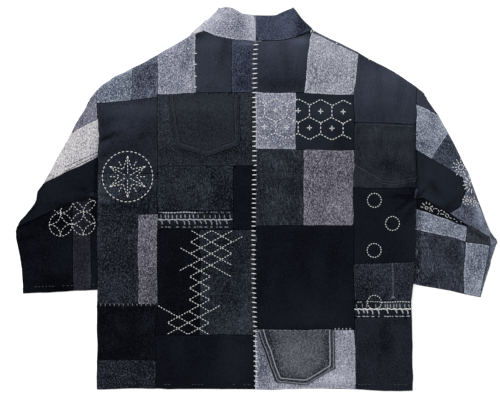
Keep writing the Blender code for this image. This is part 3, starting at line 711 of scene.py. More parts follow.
def free_rim(skin, tree):
    """The rim edges with no other scrap beside them, each with its outward direction."""
    free = {}
    for edge in skin.edges:
        if edge.is_boundary:
            side = outward(edge)
            beside = (edge.verts[0].co + edge.verts[1].co) / 2 + side * 3 * MM
            if drop(tree, beside.x, beside.y)[0] is None:
                free[edge] = side
    return free


def room_under(place, side, tree, longest):
    """How long a tail fits under the cloth behind this point, in metres."""
    for share in (1.0, 0.75, 0.5, 0.25):
        reach = place - side * (longest * share + BEHIND_TAIL)
        if drop(tree, reach.x, reach.y)[0] is not None:
            return longest * share
    return 0.0


def even_out(shape, verts, level):
    """Moves points half way to their neighbours' middle, only up and down if not level too."""
    bmesh.ops.smooth_vert(
        shape, verts=verts, factor=0.5, use_axis_x=level, use_axis_y=level, use_axis_z=True
    )


def roll_over(skin, node, free, tree, radius, turn, tail, steps=5):
    """Carries the cloth round a fold at these edges: an arc, then a straight tail."""
    if not free:
        return
    grain_store = skin.verts.layers.float_vector["grain"]
    edge_store = skin.verts.layers.float["edge"]
    sides = {}
    for edge, side in free.items():
        for vert in edge.verts:
            sides.setdefault(vert, []).append(side)
    origin = {}
    for vert, around in sides.items():
        side = sum(around, Vector()).normalized()
        length = room_under(vert.co, side, tree, tail) if turn > 90 else tail
        if turn > 90 and len(around) == 1:
            length = 0
        bend = radius * (max(0.15, min(1, length / (0.5 * tail))) if turn > 90 else 1)
        length = max(length, SHORTEST_TAIL)
        vert.co -= side * bend
        vert[edge_store] = 3.0
        origin[vert] = (vert.co.copy(), side, bend, length, vert[grain_store].copy())
    crowded = {}
    for vert, (place, side, *_) in origin.items():
        for near in (edge.other_vert(vert) for edge in vert.link_edges):
            if not near.is_boundary:
                near.co -= side * max(0, (near.co - place).dot(side) + CLEARANCE)
                crowded[near] = True
    for _ in range(4):
        even_out(skin, list(crowded), level=True)
    edges = list(free)
    for step in range(1, steps + 2):
        angle = math.radians(turn) * min(step, steps) / steps
        made = bmesh.ops.extrude_edge_only(skin, edges=edges)["geom"]
        fresh = [item for item in made if isinstance(item, bmesh.types.BMVert)]
        carried = {}
        for vert in fresh:
            old = next(e.other_vert(vert) for e in vert.link_edges if e.other_vert(vert) in origin)
            place, side, bend, length, grain = origin[old]
            arc = side * math.sin(angle) * bend + DOWN * (1 - math.cos(angle)) * bend
            if step > steps:
                arc += (side * math.cos(angle) + DOWN * math.sin(angle)) * length
            vert.co = place + arc
            travelled = bend * angle + (length if step > steps else 0)
            vert[grain_store] = grain + Vector((*to_warp(node, side.x, side.y), 0)) * travelled
            carried[vert] = origin[old]
        origin = carried
        edges = [
            item
            for item in made
            if isinstance(item, bmesh.types.BMEdge)
            and item.verts[0] in carried
            and item.verts[1] in carried
        ]


print(f"a side turns over {SIDE_BEND / MM:.1f} mm, and an elbow under {ELBOW_BEND / MM:.2f} mm")

# %% [markdown]
# ## Which way a rim turns
# A rim edge that faces down the sleeve, on the upper arm and off the table, is an elbow's fold,
# so it turns right under. Every other free edge turns over, apart from those that face the hem
# or, on a forearm, the cuff. Each scrap asks this of its own rim, so no list of edges is kept.

# %% Choose how each rim turns
FACES_DOWN, FACES_HEM, FACES_ALONG = -0.6, -0.75, 0.75
OFF_TABLE = 7 * MM


def turn_rims(skin, node):
    """Folds a scrap's free rims: under at an elbow, over at a side, not at hem or cuff."""
    tree = forearm_tree if node.startswith("forearm") else top_tree
    free = free_rim(skin, tree)
    middle = {edge: (edge.verts[0].co + edge.verts[1].co) / 2 for edge in free}
    elbow = {
        edge: side
        for edge, side in free.items()
        if side.y < FACES_DOWN and node.startswith("sleeve") and middle[edge].z > OFF_TABLE
    }
    folded = {vert for edge in elbow for vert in edge.verts}
    over = {
        edge: side
        for edge, side in free.items()
        if not folded.intersection(edge.verts)
        and side.y > FACES_HEM
        and not (node.startswith("forearm") and abs(side.x) < FACES_ALONG)
    }
    roll_over(skin, node, elbow, tree, ELBOW_BEND, 180, 14 * MM)
    roll_over(skin, node, over, tree, SIDE_BEND, 90, 1.0 * MM, steps=4)


print("an elbow's fold turns 180 degrees, and a side 90")

# %% [markdown]
# ## Tugs
# Hands laid this jacket out, and tugged it here and there. A smooth field of small sideways
# steps gives each seam its slow waver, and the rows below add the places where the cloth was
# pulled by a few millimetres. Because scraps share the field, neighbours move together and
# their seams stay closed.

# %% Tug the cloth
#    where the laid cloth was tugged: x, y, reach, and how far to the right and up
TUGS = (
    (-503, -80, 40, -4.0, 0), (-498, -140, 45, -1.0, 0), (-490, -194, 24, -2.0, 0),
    (-334, -250, 45, -2.5, 0), (-334, -330, 50, -2.4, 0), (-334, -395, 30, -2.5, 0),
    (484, -40, 32, -3.0, 0), (494, -66, 20, -3.4, 0), (492, -140, 28, 3.5, 0),
    (412, 122, 34, 3.4, 1.0), (346, 222, 34, 1.0, 1.0), (-345, 214, 34, -1.6, 0.8),
    (-376, 150, 34, -1.9, 0.6), (-410, 92, 34, -2.8, 1.0), (-440, 42, 22, -1.4, 0.6),
    (-470, -6, 18, 2.8, -1.0), (-334, 130, 26, 5.0, 0), (-370, 72, 26, 0, -3.4),
    (-410, 52, 18, 0, -1.6), (28, 389, 34, 0, -2.8), (-60, 402, 20, 0, 2.4),
    (105, 290, 36, -2.0, 0), (185, 217, 40, 0, -1.2), (205, -346, 50, 2.8, 0),
    (104, 374, 22, -2.4, -0.8), (114, 336, 16, -2.0, 0), (428, -56, 18, 0, -2.0),
    (444, -90, 16, 0, -3.0), (200, -2, 30, -2.4, 0), (200, 70, 24, 2.2, 0),
    (-255, -402, 50, 0, 3.0), (280, -402, 56, 0, -2.6), (-120, -402, 60, 0, 1.5),
    (150, -402, 60, 0, 1.4), (330, -370, 40, 2.0, 0), (448, 38, 22, 2.4, 0.8),
    (206, -400, 34, 3.6, 0), (78, 120, 30, -1.6, 0), (198, 14, 30, -1.6, 0),
    (-30, -402, 30, 0, 1.2), (312, -402, 26, 0, -1.6),
)
#    and where some cloths alone were: the start of their names, then the same
OWN_TUGS = (
    ("sleeve_l_elbow", -506, -60, 8, 3.5, 0.5),
    (("forearm_l", "sleeve_l_under"), -499, -58, 8, -4.0, 1.5),
    ("forearm_l", -508, -71, 7, 2.2, 0),
    ("sleeve_r_elbow", 505, -89, 8, -2.5, 1.5),
    (("forearm_r", "sleeve_r_under"), 501, -86, 7, 3.0, 2.0),
    ("back_l_yoke_pale", -139, 341, 11, -0.5, 2.6),
    ("collar_l", -112, 366, 18, -3.0, 1.6),
)


def drift(skin, node):
    """Shifts a skin sideways by a smooth field that all share, so no seam is dead straight."""
    x, y, _ = points_of(skin)
    right = 2.2 * wave_at(x, y, 55, 21.3) + 1.1 * wave_at(x, y, 21, 2.7)
    up = 1.8 * wave_at(x, y, 60, 14.9) + 0.9 * wave_at(x, y, 23, 6.1)
    own = [tug[1:] for tug in OWN_TUGS if node.startswith(tug[0])]
    for tug_x, tug_y, reach, tug_right, tug_up in (*TUGS, *own):
        near = np.exp(-((x - tug_x) ** 2 + (y - tug_y) ** 2) / reach**2)
        right += tug_right * near
        up += tug_up * near
    for vert, step_x, step_y in zip(skin.verts, right, up):
        vert.co.x += step_x * MM
        vert.co.y += step_y * MM


print(f"{len(TUGS)} tugs on all the cloth, and {len(OWN_TUGS)} on some")

# %% [markdown]
# ## All the scraps
# Now each scrap goes the whole way: skin, bands, relief, rims and tugs. A Solidify modifier
# gives it the thickness of denim on the side away from the light, so the shown face stays in
# its place, and a small Bevel rounds the cut edges. A pocket is stitched flat, so it keeps
# fewer points and no rolled rim.

# %% Make the cloth of every scrap
CLOTH = 1.4 * MM


def shade_smooth(obj):
    """Lets light run smoothly over a piece's faces."""
    for polygon in obj.data.polygons:
        polygon.use_smooth = True


def soften(obj, rounding):
    """Smooths a piece and rounds its sharp rims."""
    shade_smooth(obj)
    soft = obj.modifiers.new("soft rim", "BEVEL")
    soft.width = rounding
    soft.segments = 2
    soft.limit_method = "ANGLE"
    soft.angle_limit = math.radians(50)
    return obj


def finish_cloth(obj):
    """Gives a skin its thickness below, with softly rounded rims."""
    wall = obj.modifiers.new("wall", "SOLIDIFY")
    wall.thickness = CLOTH
    wall.offset = -1
    return soften(obj, 0.45 * MM)


def new_piece(name, shape):
    """An object of the jacket from a bmesh, riding on its one body."""
    mesh = bpy.data.meshes.new(name)
    shape.to_mesh(mesh)
    shape.free()
    obj = bpy.data.objects.new(name, mesh)
    bpy.context.scene.collection.objects.link(obj)
    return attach(obj, "root")


POCKET_FOOT = Vector((122, -391, 0))
FOOT_REACH = 24 * MM


def fit_lower_pocket(skin):
    """Draws the lower pocket's mouth to its seam, and its side and foot in, as it was sewn."""
    mouth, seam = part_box("pocket_lower")[1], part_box("back_r_hem_ash")[1].y - 0.4 * MM
    for vert in skin.verts:
        vert.co.y += (seam - mouth.y) * (vert.co.y > mouth.y - 1 * MM)
        foot = math.exp(-((vert.co - POCKET_FOOT * MM).xy.length / FOOT_REACH) ** 2)
        vert.co.x -= 4.2 * (mouth.x - vert.co.x) / 0.15 * MM + 4.5 * foot * MM
        vert.co.y -= 2.6 * foot * MM


cloths = {}
for node in top_scraps + forearm_scraps + pockets:
    layer = "forearm" if node in forearm_scraps else "top"
    skin, rim = upper_skin(node, POCKET_CUTS if node in pockets else SCRAP_CUTS)
    cut_bands(skin, node)
    if node == "pocket_lower":
        fit_lower_pocket(skin)
    lay(skin, node, layer, rim)
    if node not in pockets:
        turn_rims(skin, node)
    drift(skin, node)
    cloths[node] = finish_cloth(new_piece(node + "_cloth", skin))
    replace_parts(cloths[node], node)
print(f"{len(cloths)} scraps, {sum(len(o.data.polygons) for o in cloths.values())} faces")

# %% [markdown]
# ## The cloth underneath
# The fronts and the undersides of the sleeves rest on the table, so they keep the solid's flat
# form, and only small ridges rise from it where the cloth was not smoothed out. They are seen
# from low down as the lower of the two edges, and from below.

# %% Fronts and sleeve undersides
UNDER_RIDGES = (
    (-300, -20, -220, -60, 9, 1.2), (-250, 150, -200, 60, 11, 1.0),
    (-120, -100, -128, -260, 13, 1.1), (-60, 120, -70, -20, 12, 0.9),
    (120, -90, 132, -230, 14, 1.1), (70, 140, 60, 10, 11, 0.8), (300, -16, 230, -60, 9, 1.3),
    (240, 150, 210, 50, 10, 0.9), (-400, 60, -370, 10, 8, 0.8), (400, 40, 380, -30, 8, 0.8),
    (-430, -120, -380, -130, 8, 0.5), (420, -130, 380, -140, 8, 0.5),
)


def lay_flat(skin, node, rim):
    """Keeps a lower cloth on the table, with a few ridges, and stores what the dye and the painted
    shade need.
    """
    x, y, z = points_of(skin)
    edge = distance_to_rim(x, y, rim)
    z += creases_at(x, y, UNDER_RIDGES) * np.clip(edge / 20, 0, 1)
    for vert, height in zip(skin.verts, z):
        vert.co.z = height * MM
    store(skin, node, x, y, edge, bleach_and_painted_light(node, x, y))


def lap_seams(skin, node):
    """Laps a front over the sleeve at its armhole, and runs the sleeve on under the body."""
    for vert in skin.verts:
        x, y = vert.co.x / MM, vert.co.y / MM
        outwards = math.copysign(MM, x)
        if node in fronts and abs(x) > 328:
            lap = min(1, max(0, min(y - 4, 222 - y) / 8))
            vert.co += Vector((4 * outwards, 0, 1.7 * MM)) * lap
        if node in under_cloths and abs(x) < 337:
            vert.co.x -= 20 * outwards * min(1, max(0, min(-y, y + 176) / 12))


for node in fronts + under_cloths:
    skin, rim = upper_skin(node, UNDER_CUTS)
    lay_flat(skin, node, rim)
    lap_seams(skin, node)
    bmesh.ops.scale(skin, verts=skin.verts, vec=(0.997, 1, 1))
    drift(skin, node)
    cloths[node] = finish_cloth(new_piece(node + "_cloth", skin))
    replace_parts(cloths[node], node)
print("fronts and sleeve undersides laid")

# %% [markdown]
# ## Collar and shoulder slips
# The collar stands doubled over at the sides of the neck, so it is more than one skin. Its
# solid is copied whole, cut fine, and smoothed, which rounds its folds. The two narrow slips
# are where the fronts roll over the shoulder line. They are single cloth, so they are laid as
# the fronts are, and the left one reaches a little further up beside the collar.

# %% Round the collar and the slips
COLLAR_ROUNDS = 8


def lay_whole(node, cuts, rounds):
    """A smooth copy of a whole solid with the numbers for its dye and painted light and shade
    stored on it.
    """
    whole = merged_copy(node)
    rim = np.array(
        [
            (*e.verts[0].co.xy, *e.verts[1].co.xy)
            for e in whole.edges
            if len(e.link_faces) == 2
            and max(f.normal.z for f in e.link_faces) > LOOKS_UP
            and abs(e.calc_face_angle(0)) > 1.0
        ]
    )
    bmesh.ops.subdivide_edges(whole, edges=whole.edges[:], cuts=cuts, use_grid_fill=True)
    for _ in range(rounds):
        soft = [v for v in whole.verts if all(e.calc_face_angle(0) < 0.9 for e in v.link_edges)]
        even_out(whole, soft, level=False)
    x, y, _ = points_of(whole)
    store(whole, node, x, y, distance_to_rim(x, y, rim / MM), bleach_and_painted_light(node, x, y))
    drift(whole, node)
    return whole


for node in shoulder_slips:
    skin, rim = upper_skin(node, UNDER_CUTS)
    if node == "front_l_shoulder_edge":
        for vert in skin.verts:
            rise = max(0, vert.co.y / MM - 346) / 12
            tuck = max(0, vert.co.x / MM + 129) / 12.7 * (1 - rise)
            vert.co += (Vector((17.0, 18.5, -1.4)) * rise + Vector((10, -1, 0)) * tuck) * MM
    lay_flat(skin, node, rim)
    drift(skin, node)
    cloths[node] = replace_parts(finish_cloth(new_piece(node + "_cloth", skin)), node)

for node in collar_halves:
    piece = new_piece(node + "_cloth", lay_whole(node, COLLAR_CUTS, COLLAR_ROUNDS))
    cloths[node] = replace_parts(soften(piece, 0.4 * MM), node)
print(f"{len(cloths)} pieces of cloth in all")

# %% [markdown]
# ## Denim
# Denim is woven from a dyed warp and a white weft. Wear takes the dye off the raised threads,
# so faded denim is a mixture of two colours and not a single paler one. The recipe therefore
# mixes a deep colour with a faded one, and what drives the mixture is the wear: fine speckle,
# streaks along the warp, broad clouds, the given fading with its painted light and shade, and a
# rubbed line along the edges. Right at every rim the mixture is darkened as painted shade, for
# the shadow in the seams. The ribs of the twill are too fine for points, so they are bump.

# %% A small kit for wiring a material


def dyed(red, green, blue):
    """A colour given as it looks on a screen, 0 to 255, made linear."""
    shares = [c / 255 for c in (red, green, blue)]
    return [c / 12.92 if c < 0.04045 else ((c + 0.055) / 1.055) ** 2.4 for c in shares]


class Bench:
    """Adds nodes to one material and wires them."""

    def __init__(self, name):
        self.material = bpy.data.materials.new(name)
        self.material.use_nodes = True
        self.tree = self.material.node_tree
        self.shader = self.tree.nodes["Principled BSDF"]

    def add(self, kind, inputs=None, **settings):
        """One node with its settings and inputs. An input that is a socket gets a wire."""
        node = self.tree.nodes.new(kind)
        for key, value in settings.items():
            setattr(node, key, value)
        for key, value in (inputs or {}).items():
            self.put(node.inputs[key], value)
        return node

    def put(self, socket, value):
        if isinstance(value, bpy.types.NodeSocket):
            self.tree.links.new(value, socket)
        else:
            socket.default_value = value

    def stored(self, name, output="Fac"):
        """A number or place stored on the points."""
        return self.add("ShaderNodeAttribute", attribute_name=name).outputs[output]

    def speckle(self, place, scale, detail=3.0, stretch=(1, 1, 1)):
        """Noise of one size, stretched along the warp if wanted."""
        moved = self.add("ShaderNodeMapping", {"Vector": place, "Scale": stretch})
        made = self.add(
            "ShaderNodeTexNoise",
            {"Vector": moved.outputs[0], "Scale": scale, "Detail": detail, "Roughness": 0.6},
        )
        return made.outputs["Fac"]

    def wisps(self, place, patches, lean, curl):
        """Sparse pale hair-lines that lean this many degrees, more or less curly, in patches."""
        moved = self.add(
            "ShaderNodeMapping",
            {"Vector": place, "Rotation": (0, 0, math.radians(lean)), "Scale": (0.14, 1, 1)},
            vector_type="TEXTURE",
        )
        hairs = self.add(
            "ShaderNodeTexNoise",
            {"Vector": moved.outputs[0], "Scale": 62.0, "Detail": 2.0, "Distortion": curl},
        )
        thin = self.rescaled(hairs.outputs["Fac"], 0.56, 0.7)
        return self.sum(thin, self.rescaled(patches, 0.42, 0.6), 0.0)

    def sum(self, value, gain, base):
        """value times gain plus base."""
        made = self.add("ShaderNodeMath", {0: value, 1: gain, 2: base}, operation="MULTIPLY_ADD")
        return made.outputs[0]

    def rescaled(self, value, low, high, to_low=0.0, to_high=1.0):
        """A value moved from the range low to high into another range, and kept inside it."""
        sockets = ("Value", "From Min", "From Max", "To Min", "To Max")
        inputs = dict(zip(sockets, (value, low, high, to_low, to_high)))
        return self.add("ShaderNodeMapRange", inputs).outputs[0]

    def coat(self, share, first, second):
        """Gives the shader a colour mixed from two, in linear shares."""
        mix = self.add("ShaderNodeMix", data_type="RGBA", blend_type="MIX")
        for index, value in ((0, share), (6, (*first, 1)), (7, (*second, 1))):
            self.put(mix.inputs[index], value)
        self.put(self.shader.inputs["Base Color"], mix.outputs[2])

    def emboss(self, height, strength, distance):
        """Gives the shader a bump."""
        inputs = {"Height": height, "Strength": strength, "Distance": distance}
        bump = self.add("ShaderNodeBump", inputs)
        self.put(self.shader.inputs["Normal"], bump.outputs[0])

    def finish(self, **values):
        """Sets the shader's plain values, named with underscores for spaces."""
        for name, value in values.items():
            self.shader.inputs[name.replace("_", " ")].default_value = value
        return self.material


print("the bench is ready")

# %% [markdown]
# ## The recipe
# Every kind of wear, and the painted light and shade, is added to one number, and that number
# mixes the two colours. All the noise is read at the scrap's own place along the grain, so that
# it turns with the scrap. The noise for the weft feeds the bump too, beside the ribs of the
# twill, so pale threads stand up.

# %% The denim recipe
ROWS_WIDTH = 30.0


def denim(name, deep, faded, speckle, streak, cloud, fleck, rub, rows=(), wisp=(0, 0, 0)):
    """Denim from two colours. The numbers after them say how strongly each kind of wear shows."""
    bench = Bench(name)
    place = bench.stored("grain", "Vector")
    fine = bench.speckle(place, 540.0, 2.0, (1.0, 0.55, 1.0))
    weft = bench.speckle(place, 900.0, 1.0, (1.0, 0.45, 1.0))
    warp = bench.speckle(place, 60.0, 3.0, (6.0, 1.0, 1.0))
    broad = bench.speckle(place, 14.0, 3.0)
    wear = bench.sum(fine, speckle, -speckle / 2)
    wear = bench.sum(weft, 0.8 * speckle, bench.sum(wear, 1.0, -0.4 * speckle))
    wear = bench.sum(warp, streak, bench.sum(wear, 1.0, -streak / 2))
    wear = bench.sum(broad, cloud, bench.sum(wear, 1.0, -cloud / 2))
    # The stored share carries the painted light and shade of clouds, bands and creases besides the
    # bleach.
    wear = bench.sum(bench.stored("bleached"), 1.0, wear)
    wear = bench.sum(bench.rescaled(fine, 0.58, 0.72, 0, fleck), 1.0, wear)
    if wisp[0]:
        wear = bench.sum(bench.wisps(place, broad, wisp[1], wisp[2]), wisp[0], wear)
    edge = bench.stored("edge")
    wear = bench.sum(bench.rescaled(edge, 1.2, 4.0, rub, 0), fine, wear)
    # Painted shade: within a millimetre of every rim the cloth is darkened, for the shadow in the
    # seams.
    wear = bench.sum(bench.rescaled(edge, 0.2, 1.0, -0.4, 0), 1.0, wear)
    if rows:
        ramp = bench.add("ShaderNodeValToRGB")
        bench.put(ramp.inputs[0], bench.sum(edge, 1 / ROWS_WIDTH, 0.0))
        stops = ramp.color_ramp.elements
        for k, (away, level) in enumerate(rows):
            stop = stops[k] if k < 2 else stops.new(away / ROWS_WIDTH)
            stop.position = away / ROWS_WIDTH
            stop.color = (level, level, level, 1)
        wear = bench.sum(ramp.outputs[0], 1.0, bench.sum(wear, 1.0, -0.5))
    bench.coat(wear, dyed(*deep), dyed(*faded))
    twill = bench.add(
        "ShaderNodeTexWave",
        {"Vector": place, "Scale": 230.0, "Distortion": 1.2, "Detail": 1.0, "Detail Scale": 2.0},
        wave_type="BANDS",
        bands_direction="DIAGONAL",
    )
    bench.emboss(bench.sum(twill.outputs["Fac"], 0.5, weft), 0.6, 0.4 * MM)
    return bench.finish(
        Roughness=0.95, Specular_IOR_Level=0.03, Sheen_Weight=0.005, Sheen_Roughness=0.5
    )


print("the recipe takes a deep and a faded colour")

# %% [markdown]
# ## The dyer's card
# Each kind of cloth has its row: near-black cotton that hardly fades, navy twill, indigo, and
# greys from charcoal to the palest bleached denim. The paler the cloth, the more its white weft
# shows, so the speckle grows stronger down the card. The two pockets have rows of their own.
# A jeans pocket is sewn down twice, and dye stays in the dents beside the stitches while the
# ridges between them rub pale, so these two add bands that follow the pocket's edge. The
# darkest band, right at the edge, is painted shadow.

# %% Mix the cloths
#    its name, deep and faded colour, speckle, streak, cloud, fleck, rub, rows, wisps
CARD = {
    "black": ("black denim", (2, 3, 7), (46, 51, 62), 0.5, 0.1, 0.22, 0.0, 0.05),
    "navy": ("navy twill", (5, 6, 10), (82, 88, 106), 0.45, 0.15, 0.28, 0.0, 0.1),
    "indigo": ("indigo denim", (19, 22, 34), (116, 126, 152), 0.9, 0.3, 0.25, 0.25, 0.2),
    "charcoal": ("charcoal denim", (11, 14, 18), (82, 87, 100), 1.1, 0.35, 0.25, 0.35, 0.15),
    "coal": (
        "streaked denim", (11, 14, 18), (82, 87, 100), 0.9, 0.4, 0.25,
        0.3, 0.15, (), (0.7, 14, 0.1)
    ),
    "soot": (
        "sooty denim", (8, 11, 16), (86, 92, 106), 0.95, 0.3, 0.35, 0.4, 0.1, (), (0.3, -12, 0.6)
    ),
    "denim_dark": (
        "dark denim", (8, 11, 16), (90, 95, 112), 1.2, 0.3, 0.3, 0.5, 0.15, (), (0.25, 5, 0.5)
    ),
    "slate": ("mid-grey denim", (26, 30, 44), (186, 196, 220), 0.8, 0.3, 0.25, 0.2, 0.15),
    "lilac": ("lilac-grey denim", (42, 42, 52), (176, 173, 188), 1.6, 0.5, 0.35, 0.45, 0.2),
    "ash": ("ash-grey denim", (66, 70, 88), (214, 215, 230), 1.5, 0.5, 0.4, 0.4, 0.4),
    "mist": ("pale blue-grey denim", (58, 66, 82), (212, 220, 236), 1.4, 0.5, 0.4, 0.35, 0.35),
    "pale": ("bleached denim", (104, 106, 120), (234, 232, 236), 2.2, 0.6, 0.4, 0.0, 0.3),
    "seam_strip": ("seam strip denim", (4, 6, 9), (58, 64, 74), 1.0, 0.3, 0.3, 0.4, 0.1),
    "under": ("inside of the denim", (12, 15, 22), (90, 96, 116), 0.9, 0.2, 0.15, 0.2, 0.1),
}
#       millimetres from the edge, more or less bleached around 0.5; the dark stop at 0 is painted
#       shadow
DEEP_ROWS = (
    (0, 0.3), (30, 0.52), (1.3, 0.4), (3.0, 0.86), (4.4, 0.36), (6.0, 0.5), (8.3, 0.36),
    (10.2, 1.1), (12.0, 0.42), (16, 0.46),
)
FAINT_ROWS = (
    (0, 0.28), (30, 0.5), (1.6, 0.62), (3.2, 0.36), (5.0, 0.5), (8.4, 0.5), (9.7, 0.64),
    (11.2, 0.34), (13.5, 0.48),
)
OWN_CLOTH = {
    "sleeve_l_upper_white": (
        "white denim", (78, 80, 94), (214, 211, 212), 2.3, 0.5, 0.3, 0.0, 0.1
    ),
    "sleeve_l_cap_slate": (
        "speckled slate denim", (40, 40, 54), (206, 206, 226), 1.2, 0.5, 0.25, 0.2, 0.15
    ),
    "forearm_r_elbow_black": (
        "black denim, worn at the tip", (15, 19, 25), (150, 158, 174), 0.4, 0.2, 0.1, 0.0, 0.0
    ),
    "forearm_r_inner_denim": (
        "scratched denim", (8, 11, 16), (96, 101, 118), 1.1, 0.3, 0.3,
        0.45, 0.15, (), (1.4, 20, 1.2)
    ),
    "back_r_side_coal": (
        "smooth coal denim", (11, 14, 18), (82, 87, 100), 0.4, 0.3, 0.4, 0.15, 0.15
    ),
    "front_l_shoulder_edge": (
        "pale edge of the left front", (150, 150, 160), (232, 231, 235), 0.9, 0.4, 0.3, 0.0, 0.1
    ),
    "sleeve_r_upper_indigo": (
        "worn indigo denim", (20, 25, 35), (128, 140, 160), 1.0, 0.3, 0.25, 0.35, 0.2
    ),
    "front_r_shoulder_edge": (
        "speckled edge of the right front", (22, 27, 40), (140, 148, 172), 0.8, 0.3, 0.25,
        0.2, 0.3
    ),
    "back_r_yoke_pale": (
        "washed lilac denim", (64, 68, 84), (219, 221, 233), 1.45, 0.5, 0.4, 0.3, 0.35
    ),
    "forearm_l_strip_denim": (
        "smooth strip of denim", (17, 19, 25), (98, 99, 111), 0.55, 0.25, 0.3, 0.2, 0.15
    ),
    "pocket_lower": (
        "lower pocket", (30, 32, 42), (196, 198, 212), 0.5, 0.2, 0.12, 0.15, 0.0, DEEP_ROWS
    ),
    "pocket_upper": (
        "upper pocket", (15, 18, 23), (86, 91, 104), 0.45, 0.15, 0.12, 0.1, 0.0, FAINT_ROWS
    ),
}
card = {cloth: denim(*recipe) for cloth, recipe in CARD.items()}
own_cloth = {node: denim(*recipe) for node, recipe in OWN_CLOTH.items()}
print(f"{len(CARD)} cloths on the card, and {len(OWN_CLOTH)} scraps with their own")

# %% [markdown]
# ## Thread
# Sashiko thread is soft, thick cotton with hardly any twist. Each stitch shows as a grain of
# rice lying in the cloth: plump in the middle and pulled in at both ends. A squashed sphere of
# few faces is enough for one, and a motif's stitches are one joined mesh, which keeps
# so many of them light. A ray dropped on the finished cloth gives each its height and slope.

# %% Search the finished surface
bpy.context.view_layer.update()
graph = bpy.context.evaluated_depsgraph_get()


def finished_tree(pieces):
    """A search tree over the finished surfaces of these pieces, and whose each face is."""
    gathered, owner = bmesh.new(), []
    for name, obj in pieces.items():
        surface = obj.evaluated_get(graph).to_mesh()
        gathered.from_mesh(surface)
        owner += [name] * (len(gathered.faces) - len(owner))
        obj.evaluated_get(graph).to_mesh_clear()
    tree = BVHTree.FromBMesh(gathered)
    gathered.free()
    return tree, owner


surface_tree, surface_owner = finished_tree(cloths)


def surface_at(x, y):
    """The height in metres of the jacket's surface at a point in millimetres, and its piece."""
    place, _, index, _ = drop(surface_tree, x * MM, y * MM)
    return (None, None) if place is None else (place.z, surface_owner[index])


print(f"the surface has {len(surface_owner)} faces")

# %% [markdown]
# ## Stitches
# A running stitch shows more thread than gap, and never quite in line. One function lays a
# single grain of thread between two points, one divides a line into stitches, one nudges them
# out of line, and one joins a motif's stitches into a piece. A motif may name the scraps that
# it stays on, which cuts it off at their edges, as where cloth folds over it.

# %% One stitch, and a row of them


def thread_material(name, colour):
    """Soft cotton thread with a faint twist."""
    bench = Bench(name)
    place = bench.add("ShaderNodeTexCoord").outputs["Object"]
    ply = bench.speckle(place, 900.0, 2.0)
    plain = dyed(*colour)
    bench.coat(ply, [0.72 * c for c in plain], [min(1, 1.2 * c) for c in plain])
    bench.emboss(ply, 0.4, 0.2 * MM)
    return bench.finish(Roughness=0.85, Specular_IOR_Level=0.15, Sheen_Weight=0.1)


THREADS = {
    "white": thread_material("sashiko thread, off-white", (244, 244, 243)),
    "worn": thread_material("worn grey thread", (138, 140, 148)),
    "bleached": thread_material("bleached weft", (186, 188, 196)),
    "faint": thread_material("faded thread", (80, 84, 95)),
    "dusk": thread_material("dark blue thread", (62, 62, 88)),
}


def stitch(shape, start, end, width, wanted=None):
    """One grain-shaped stitch between two points in millimetres, lying on the cloth."""
    height_a, owner_a = surface_at(*start)
    height_b, owner_b = surface_at(*end)
    if height_a is None or height_b is None:
        return False
    if wanted and not (owner_a in wanted and owner_b in wanted):
        return False
    a = Vector((start[0] * MM, start[1] * MM, height_a))
    b = Vector((end[0] * MM, end[1] * MM, height_b))
    middle_height, _ = surface_at((start[0] + end[0]) / 2, (start[1] + end[1]) / 2)
    middle = (a + b) / 2
    middle.z = max(middle.z, middle_height or 0) + 0.12 * width * MM
    run = b - a
    turn = run.to_track_quat("X", "Z").to_matrix().to_4x4()
    size = Matrix.Diagonal((run.length + 0.5 * width * MM, width * MM, 0.75 * width * MM, 1))
    place = Matrix.Translation(middle) @ turn @ size
    bmesh.ops.create_uvsphere(shape, u_segments=6, v_segments=5, radius=0.5, matrix=place)
    return True


def row(points, length, gap):
    """The stitches of a running stitch along a line of points, as pairs of points."""
    points = [Vector(p) for p in points]
    steps = [(b - a).length for a, b in zip(points, points[1:])]
    count = max(1, round(sum(steps) / (length + gap)))
    pitch = sum(steps) / count
    share = length / (length + gap)

    def along(distance):
        for a, b, step in zip(points, points[1:], steps):
            if distance <= step:
                return a + (b - a) * (distance / step)
            distance -= step
        return points[-1]

    pairs = []
    for k in range(count):
        first = (k + 0.5 - share / 2) * pitch
        pairs.append((tuple(along(first)), tuple(along(first + share * pitch))))
    return pairs


def sew(name, pairs, width, thread, wanted=None):
    """All the stitches of one motif as one piece of thread."""
    shape = bmesh.new()
    sewn = sum(stitch(shape, a, b, width, wanted) for a, b in pairs)
    piece = new_piece(name, shape)
    shade_smooth(piece)
    piece.data.materials.append(THREADS[thread])
    print(f"{name}: {sewn} stitches")
    return piece


def jitter(pairs, amount, seed):
    """The same stitches, each a little out of line, as a hand makes them."""
    moved = []
    for k, (a, b) in enumerate(pairs):
        nudge = noise.random_vector
        noise.seed_set(seed + k + 1)
        first, second = nudge() * amount, nudge() * amount
        moved.append(((a[0] + first.x, a[1] + first.y), (b[0] + second.x, b[1] + second.y)))
    return moved


print(f"a line of 100 mm takes {len(row(((0, 0), (100, 0)), 4.0, 3.0))} stitches of 4 mm")

# %% [markdown]
# ## The ladder down the centre back
# The two halves of the back are joined with bold white bars set straight across the seam, from
# the collar to the hem. Each is about a centimetre long. Near the collar their right ends tip up
# a little, and towards the hem they tip down, as if the maker had turned the work round. They
# are thicker than the other stitches, so they get a width of their own.

